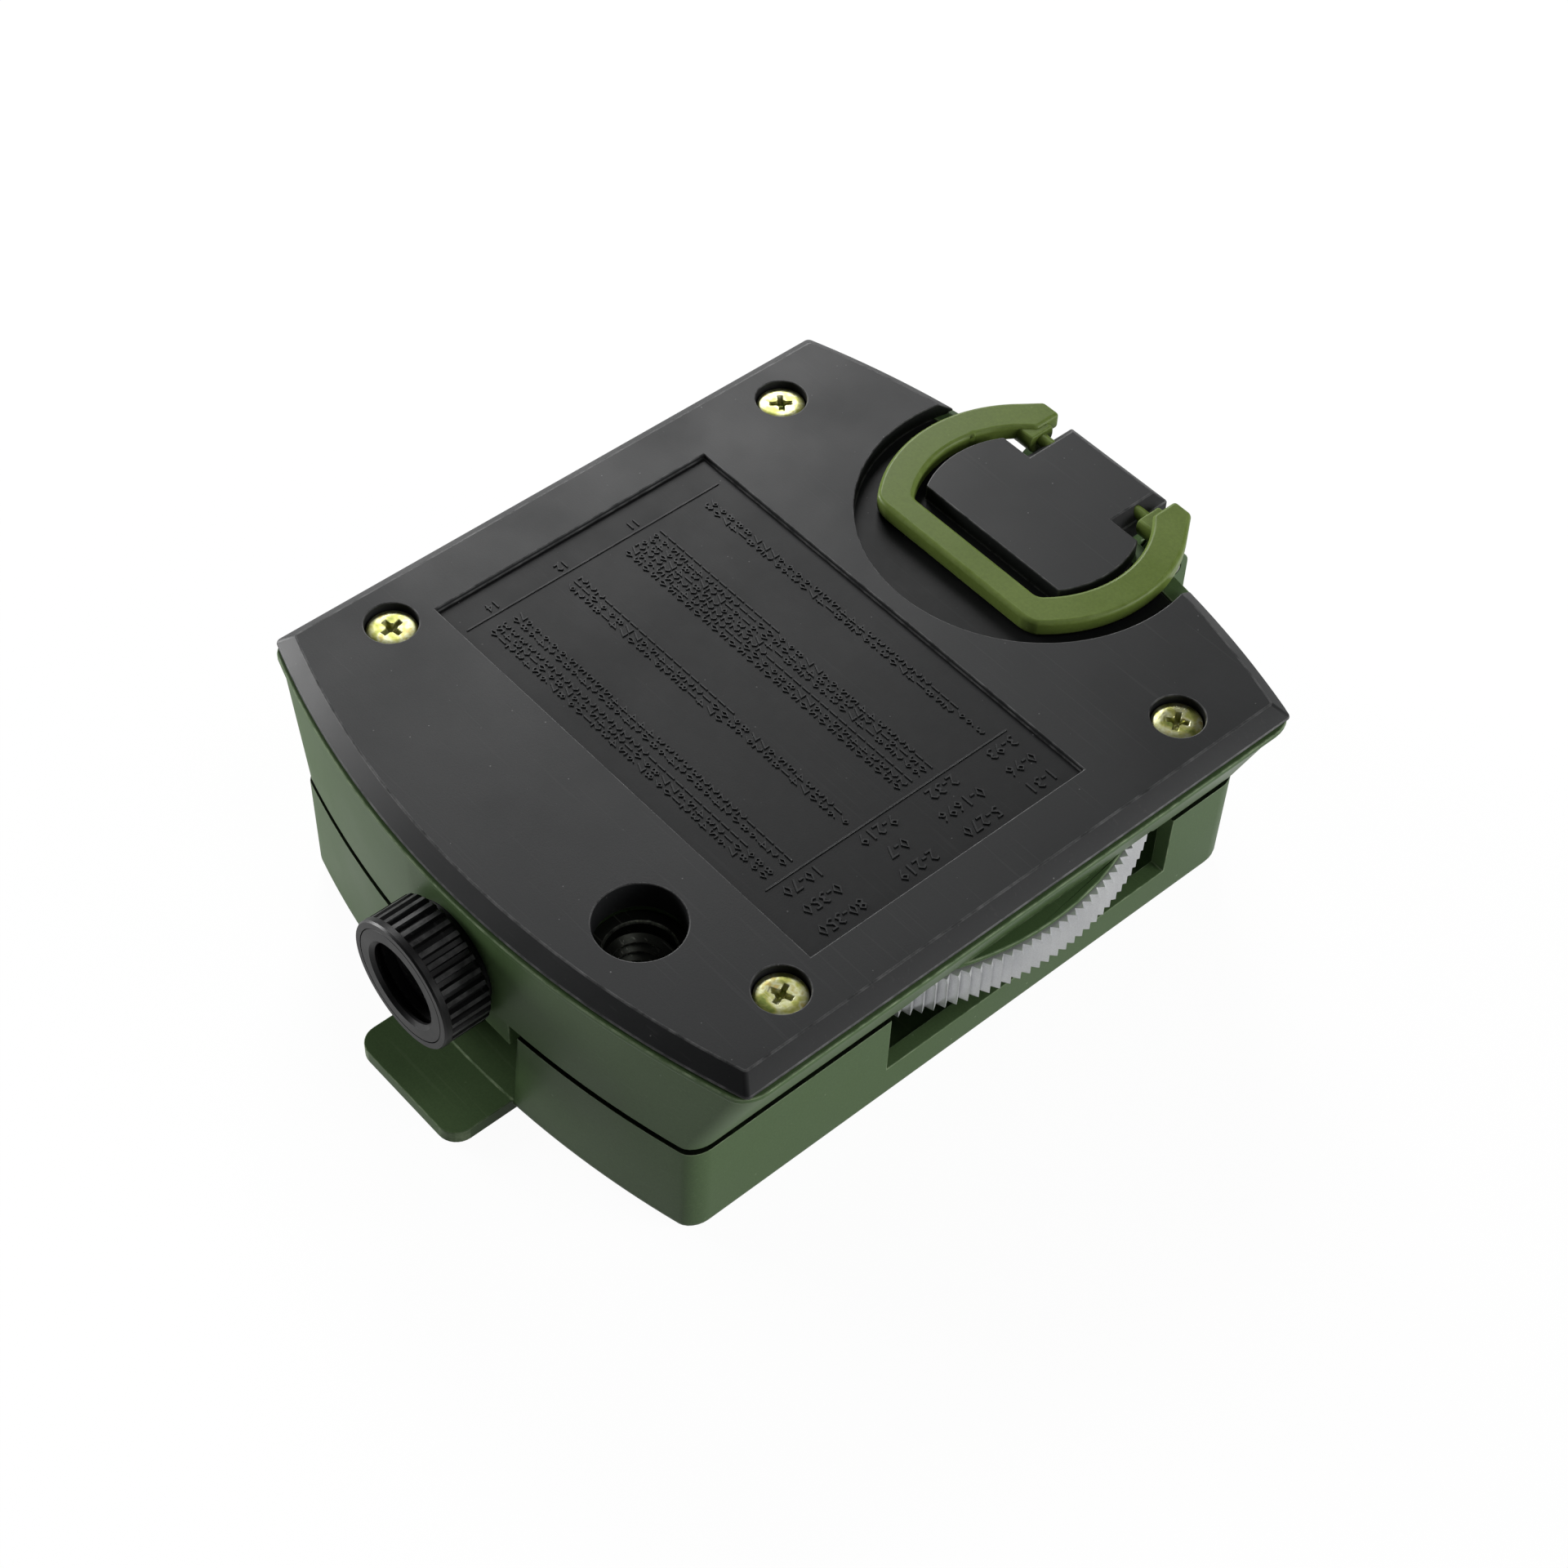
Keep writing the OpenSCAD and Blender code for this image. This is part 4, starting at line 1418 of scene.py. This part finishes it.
@dataclass
class Case:
    """The green casting that carries the dial, the eyepiece and the plate."""

    shell: Shell
    foot_half: float = 27.65
    lip: float = 0.3
    wall: float = 1.9
    shelf: float = 15.7

    def build(self) -> None:
        """Builds the casting."""
        s = self.shell
        low = dict(front=s.reach, back=s.reach)
        shut = dict(front=s.reach - 0.12, back=s.reach - 0.12)
        slope = (s.half - self.foot_half) / (s.seat - 0.65 - s.case_low)
        shelf_half = self.foot_half + slope * (self.shelf - s.case_low) - self.wall - 0.35
        inner = dict(front=s.reach - self.wall, back=s.reach - self.wall)
        body = Solid.stacked(
            [
                Level(z=s.case_low, half=self.foot_half, **shut),
                Level(z=s.seat - 0.65, half=s.half, **low),
                Level(z=s.seat - 0.65, half=s.half, grow=self.lip, **low),
                Level(z=s.seat, half=s.half, grow=self.lip, **low),
                Level(z=s.seat, half=s.half - self.wall, **inner),
                Level(z=s.seat - 1.5, half=s.half - self.wall, **inner),
                Level(z=self.shelf, half=shelf_half, **inner),
            ],
            s.bend,
        )
        tube_out, tube_in = 37.5, 27.0
        seat_disc = [(0.0, 9.35), (26.8, 9.35), (26.8, 10.0), (27.25, 10.0), (27.25, 14.05)]
        body.cut(
            s.round_dial([(0.0, 11.0), (31.5, 11.0), (31.5, 14.05), (0.0, 14.05)]),
            Solid.block((-6.1, -40.0, 11.0), (6.1, -37.16, s.seat - 0.65)),
            Solid.block((-8.4, 36.0, 11.0), (8.4, 39.0, 14.05)),
        )
        body.plus(
            s.round_dial(seat_disc + [(30.2, 14.05), (30.2, 14.6), (0.0, 14.6)]),
            Solid.disc(27.25, s.dial, 14.3, 22.9, 180),
            Solid.block((-6.8, -36.7, 9.0), (6.8, -26.4, 13.4)),
            Solid.block((-6.8, -36.2, 13.0), (6.8, -19.9, 22.9)),
            self.lug(),
            Solid.disc(5.6, (13.9, -27.7), 15.2, 22.9, 64),
        )
        well = [(0.0, 8.0), (24.2, 8.0), (24.2, 10.0), (25.6, 10.0), (25.6, 26.0), (0.0, 26.0)]
        bore = [(0.0, tube_in), (5.2, tube_in), (5.2, tube_out + 6.0), (0.0, tube_out + 6.0)]
        body.cut(
            s.round_dial(well),
            s.round_lens(bore),
            Solid.disc(4.6, (13.9, -27.7), 15.9, 26.0, 64),
            Solid.block((-6.55, 34.45, 22.9), (6.55, 45.0, 26.0)),
            Solid.crossing(0.85, s.hinge, -8.0, 8.0),
            s.round_lens([(0.0, 5.0), (1.6, 5.0), (1.6, tube_in + 0.5), (0.0, tube_in + 0.5)], 48),
        )
        body.softened(0.14, 2, where=self._plain_edge, merge=0.015)
        body.parted((-21.3, 0.013, 21.3), (-25.1, 0.017, 25.1))
        body.placed("case_casting", GREEN, "case", ["case_body"])

    def _plain_edge(self, middle: Vector) -> bool:
        """Tells whether an edge lies away from the hinge hole and the light path, which stay sharp."""
        off_hinge = math.hypot(middle.y - self.shell.hinge[0], middle.z - self.shell.hinge[1])
        off_lens = math.hypot(middle.x, middle.z - self.shell.lens_z)
        return off_hinge > 1.0 and (off_lens > 1.8 or middle.y < -28.0 or middle.y > 0.0)

    def lug(self) -> Solid:
        """Makes the middle knuckle of the hinge, which hangs behind the case."""
        s = self.shell
        lug = Solid.block((-6.3, 36.3, s.hinge[1] - 1.7), (6.3, s.hinge[0], s.hinge[1] + 1.7))
        return lug.plus(
            Solid.block((-6.3, 36.3, s.hinge[1] - 1.7), (6.3, s.hinge[0] - 1.0, 22.9)),
            Solid.crossing(1.7, s.hinge, -6.3, 6.3, 48),
        )


@dataclass
class Lid:
    """The green lid that the compass lies on, with its slots, window, thumb tab and hinge arms."""

    shell: Shell
    half: float = 27.8
    back: float = 36.4
    foot: float = 1.2
    wall: float = 1.7
    floor: float = 1.6
    slot_from: float = -11.0
    slot_to: float = 24.0
    slot_z: float = 4.6
    window: tuple[float, float] = (0.0, 14.5)

    def build(self) -> None:
        """Builds the lid and its hinge pin."""
        s = self.shell
        ends = dict(front=s.reach, back=self.back)
        inner = dict(half=self.half - self.wall, front=s.reach - self.wall, back=self.back - self.wall)
        foot = []
        for step in range(7):
            angle = math.pi / 2.0 * step / 6.0
            foot.append(
                Level(
                    z=self.foot * (1.0 - math.cos(angle)),
                    half=self.half - 0.15,
                    grow=-self.foot * (1.0 - math.sin(angle)),
                    **ends,
                )
            )
        lid = Solid.stacked(
            foot
            + [
                Level(z=s.floor_top, half=self.half, **ends),
                Level(z=s.floor_top, **inner),
                Level(z=self.floor, **inner),
            ],
            s.bend,
        )
        tab = Solid.block((-7.2, -43.8, 0.0), (7.2, -34.0, 1.4))

        def at_corner(middle: Vector) -> bool:
            """Tells whether an edge is an upright one at the tab's tip."""
            return middle.y < -43.0 and abs(middle.x) > 7.1 and 0.2 < middle.z < 1.2

        tab.softened(2.0, 8, where=at_corner)
        arms = []
        for side in (-1, 1):
            xs = sorted((side * 6.6, side * 10.0))
            arms += [
                Solid.block((xs[0], 34.9, 3.0), (xs[1], 42.9, 9.2)),
                Solid.block((xs[0], 37.7, 3.0), (xs[1], 42.9, s.hinge[1])),
                Solid.crossing(1.7, s.hinge, *xs, 48),
            ]
        lid.plus(tab, *arms)
        over = s.floor_top + 1.0
        cutters = [
            Solid.block((-FAR, self.slot_from, self.slot_z), (-25.1, self.slot_to, over)),
            Solid.block((25.1, self.slot_from, self.slot_z), (FAR, self.slot_to, over)),
            Solid.block((-8.35, -39.0, self.floor), (8.35, -31.35, over)),
            Solid.disc(31.7, (0.0, 5.9), 9.2, 21.0, 180),
            Solid.block((-15.5, 30.4, 9.2), (15.5, 37.6, over)),
            Solid.disc(9.6, self.window, -1.0, 3.0, 96),
            Solid.disc(10.6, self.window, 0.6, 3.0, 96),
        ]
        lid.cut(*cutters).softened(0.095, 2, where=lambda middle: middle.z > 0.1, merge=0.01)
        # Painted shade: the lid's rim top, seen in the gap under the case, is darkened towards near-black.
        lid.marked(PAINTED_SHADE_LAYER, lambda middle: abs(middle.z - s.floor_top) < 0.02)
        lid.cut(Solid.crossing(0.8, s.hinge, -12.0, 12.0))
        lid.placed("lid_casting", GREEN, "lid", ["lid_shell"])
        pin = Solid.spun(
            [(0.0, -10.0), (0.62, -10.0), (0.8, -9.8), (0.8, 9.8), (0.62, 10.0), (0.0, 10.0)],
            Vector((0.0, *s.hinge)),
            ACROSS,
            32,
        )
        pin.placed("hinge_pin_ground", STEEL, "lid", ["hinge_pin"])


@dataclass
class BezelRing:
    """The toothed aluminium ring that turns on the case's neck."""

    shell: Shell
    crest: float = 31.0
    root: float = 30.2
    teeth: int = 180

    def build(self) -> None:
        """Builds the ring by spinning its section and drawing every second facet inwards."""
        s = self.shell
        profile = [
            (28.9, 9.7),
            (self.crest - 0.28, 9.7),
            (self.crest, 9.98),
            (self.crest, 13.47),
            (self.crest - 0.28, 13.75),
            (27.45, 13.75),
            (27.3, 13.6),
            (27.3, 10.3),
            (28.9, 10.3),
        ]
        ring = s.round_dial(profile, self.teeth * 2)
        shift = 0.5 * FULL_TURN / self.teeth
        for vert in ring.bm.verts:
            away = Vector((vert.co.x - s.dial[0], vert.co.y - s.dial[1]))
            column = round(math.atan2(away.y, away.x) / shift)
            if column % 2 and away.length > 30.5:
                level_root = self.root - (0.06 if away.length < self.crest - 0.1 else 0.0)
                away *= level_root / away.length
                vert.co.x, vert.co.y = s.dial[0] + away.x, s.dial[1] + away.y
        bmesh.ops.recalc_face_normals(ring.bm, faces=ring.bm.faces)
        ring.placed("bezel_ring_toothed", ALUMINIUM, "ring", ["bezel_ring"], 20.0)


@dataclass
class Eyepiece:
    """The focusing knob and its front ring."""

    shell: Shell
    ribs: int = 32
    crest: float = 6.38
    depth: float = 0.42

    def build(self) -> None:
        """Builds the knob and the ring in its mouth."""
        s = self.shell
        knob = s.round_lens(
            [
                (5.25, 37.8),
                (self.crest - 0.25, 37.8),
                (self.crest, 38.05),
                (self.crest, 42.1),
                (6.43, 42.15),
                (6.43, 42.7),
                (6.3, 42.9),
                (5.72, 42.9),
                (5.72, 42.25),
                (5.25, 42.25),
            ],
            self.ribs * 8,
        )
        step = FULL_TURN / (self.ribs * 8)
        for vert in knob.bm.verts:
            radius = math.hypot(vert.co.x, vert.co.z - s.lens_z)
            if radius < 6.0 or vert.co.y < -42.12:
                continue
            column = round(math.atan2(vert.co.z - s.lens_z, vert.co.x) / step) % 8
            if column in (3, 4, 5, 6):
                share = (radius - self.depth) / radius
                vert.co.x *= share
                vert.co.z = s.lens_z + (vert.co.z - s.lens_z) * share
        bmesh.ops.recalc_face_normals(knob.bm, faces=knob.bm.faces)
        knob.marked(EDGE_LAYER, self._on_rib)
        knob.placed("focusing_knob", RUBBED_BLACK, "knob", ["eyepiece_knob"], 30.0)
        mouth = s.round_lens(
            [
                (4.08, 42.3),
                (5.7, 42.3),
                (5.7, 42.8),
                (5.6, 42.9),
                (4.45, 42.9),
                (4.08, 42.55),
            ],
            96,
        )
        mouth.placed("knob_front_ring", RUBBED_BLACK, "knob", ["eyepiece_ring"], 30.0)

    def _on_rib(self, middle: Vector) -> bool:
        """Tells whether a face of the knob lies on the crest of a rib."""
        return math.hypot(middle.x, middle.z - self.shell.lens_z) > self.crest - 0.02 and middle.y > -42.1


@dataclass
class DialPrint:
    """The generic marks on the dial card: a ring of ticks and one arrow."""

    shell: Shell
    card_low: float = 13.0
    radius: float = 22.2
    ticks: int = 72

    def build(self) -> None:
        """Builds the marks as thin prints on the card's lower face, which the glass shows."""
        s = self.shell
        low, high = self.card_low - 0.03, self.card_low + 0.01
        marks = Solid(bmesh.new())
        middle = Matrix.Translation((*s.dial, 0.0))
        for tick in range(self.ticks):
            length, half = (2.6, 0.13) if tick % 6 == 0 else (1.5, 0.08)
            mark = Solid.block((-half, self.radius - length, low), (half, self.radius, high))
            turn = Matrix.Rotation(-FULL_TURN * tick / self.ticks, 4, "Z")
            marks.along_with(mark.moved(middle @ turn))
        arrow = Solid.prism([(-1.3, 14.6), (0.0, 18.0), (1.3, 14.6), (0.0, 15.5)], low, high)
        marks.along_with(arrow.moved(middle))
        marks.placed("dial_marks", PRINT, "dial", smooth_below=20.0)


# --------------------------------------------------------------------------------------------------
# Kept pieces, stage and main


@dataclass
class KeptPieces:
    """The frame's own pieces that stay as they are and only get their finish."""

    nodes: dict[str, Object]
    finishes: dict[str, Finish] = field(
        default_factory=lambda: {
            "lid_window": GLASS,
            "window_retainer": INNER_BLACK,
            "sight_wire": STEEL,
            "base_seal": RUBBER,
            "front_glass": GLASS,
            "capsule_housing": GLASS,
            "capsule_pad": RUBBER,
            "pivot_post": BRASS,
            "pendulum_pin": BRASS,
            "pendulum": RED,
            "dial_card": CARD,
            "dial_magnet": STEEL,
            "jewel_cap": JEWEL,
            "bezel_retainer": INNER_BLACK,
            "eyepiece_tube": RUBBED_BLACK,
            "eyepiece_seal": RUBBER,
            "lens_cell": INNER_BLACK,
            "eyepiece_lens": GLASS,
        }
    )

    def build(self) -> None:
        """Gives each kept piece its material."""
        for name, finish in self.finishes.items():
            slots = self.nodes[name].data.materials
            slots.clear()
            slots.append(finish.material())
            LOG.info("%s keeps its shape and takes %s", name, finish.name)


@dataclass
class Studio:
    """The white table, the soft lights and the camera."""

    eye: tuple[float, float, float] = (0.13573, -0.12538, 0.22819)
    right: tuple[float, float, float] = (0.6576, 0.7529, 0.0266)
    above: tuple[float, float, float] = (-0.5859, 0.4890, 0.6462)
    ahead: tuple[float, float, float] = (-0.4735, 0.4406, -0.7627)
    lens: float = 70.55

    def build(self) -> None:
        """Sets up the stage."""
        self.floor()
        self.world()
        self.lights()
        self.camera()
        bpy.context.scene.view_settings.view_transform = "Standard"

    def floor(self) -> None:
        """Lays a white floor that keeps the object's shadow."""
        bm = bmesh.new()
        bmesh.ops.create_grid(bm, x_segments=1, y_segments=1, size=2.0)
        mesh = bpy.data.meshes.new("floor")
        bm.to_mesh(mesh)
        bm.free()
        floor = linked("floor", mesh)
        made = bpy.data.materials.new("white_table")
        made.use_nodes = True
        board = NodeBoard(made.node_tree)
        matte = board.add("ShaderNodeBsdfDiffuse", {"Color": (0.7, 0.7, 0.7, 1.0)})
        glow = board.add("ShaderNodeEmission", {"Color": WHITE, "Strength": 1.04})
        path = board.add("ShaderNodeLightPath")
        mirrored = board.sum("MULTIPLY", path.outputs["Is Glossy Ray"], 0.5)
        seen = board.sum("MAXIMUM", path.outputs["Is Camera Ray"], mirrored)
        seen = board.sum("MAXIMUM", seen, path.outputs["Is Transmission Ray"])
        amount = board.sum("MULTIPLY", seen, 0.92)
        mixed = {"0": amount, "1": matte.outputs[0], "2": glow.outputs[0]}
        mix = board.add("ShaderNodeMixShader", mixed)
        board.add("ShaderNodeOutputMaterial", {"Surface": mix.outputs[0]})
        mesh.materials.append(made)
        floor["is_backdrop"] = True

    def world(self) -> None:
        """Makes the world white where it is seen and plain elsewhere."""
        world = bpy.data.worlds.new("studio")
        world.use_nodes = True
        bpy.context.scene.world = world
        board = NodeBoard(world.node_tree)
        path = board.add("ShaderNodeLightPath").outputs
        seen = board.sum("MAXIMUM", path["Is Camera Ray"], path["Is Transmission Ray"])
        plain = board.add("ShaderNodeBackground", {"Color": WHITE, "Strength": 0.07})
        white = board.add("ShaderNodeBackground", {"Color": WHITE, "Strength": 1.0})
        mixed = {"0": seen, "1": plain.outputs[0], "2": white.outputs[0]}
        mix = board.add("ShaderNodeMixShader", mixed)
        board.add("ShaderNodeOutputWorld", {"Surface": mix.outputs[0]})

    def lights(self) -> None:
        """Hangs four soft lamps: behind, at the left, at the right and above."""
        for name, place, size, power in (
            ("back_softbox", (-0.54, 0.36, 0.42), 0.30, 3.5),
            ("left_softbox", (-0.56, -0.20, 0.10), 0.28, 4.6),
            ("right_softbox", (0.52, 0.30, 0.12), 0.4, 3.2),
            ("top_softbox", (0.34, 0.10, 0.75), 0.3, 0.9),
        ):
            lamp = bpy.data.lights.new(name, "AREA")
            lamp.shape = "SQUARE"
            lamp.size = size
            lamp.energy = power
            holder = linked(name, lamp)
            holder.location = place
            aim = Vector((0.0, 0.0, 0.012)) - Vector(place)
            holder.rotation_euler = aim.to_track_quat("-Z", "Y").to_euler()

    def camera(self) -> None:
        """Places the camera at the photograph's viewpoint."""
        camera = bpy.data.cameras.new("camera")
        camera.lens = self.lens
        camera.sensor_width = 36.0
        camera.clip_start = 0.01
        camera.clip_end = 20.0
        holder = linked("camera", camera)
        behind = tuple(-part for part in self.ahead)
        turn = Matrix((self.right, self.above, behind)).transposed().to_4x4()
        holder.matrix_world = Matrix.Translation(self.eye) @ turn
        bpy.context.scene.camera = holder


def corners(bounds: Iterable[Iterable[float]]) -> list[list[float]]:
    """Turns a box into plain lists of numbers.

    Args:
        bounds: the box's lower and upper corner.

    Returns:
        The same two corners as lists.
    """
    return [[float(value) for value in corner] for corner in bounds]


def main() -> None:
    """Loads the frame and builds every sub-assembly."""
    logging.basicConfig(level=logging.INFO, format="%(message)s")
    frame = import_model()
    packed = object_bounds()
    shell = Shell()
    assemblies = [
        Studio(),
        BasePlate(shell),
        CarryingRing(shell),
        Case(shell),
        Lid(shell),
        BezelRing(shell),
        Eyepiece(shell),
        DialPrint(shell),
        KeptPieces(frame["nodes"]),
    ]
    for assembly in assemblies:
        assembly.build()
        LOG.info("built %s", type(assembly).__name__)
    bpy.context.view_layer.update()
    {"cad": corners(packed), "visual": corners(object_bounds())}


if __name__ == "__main__":
    main()
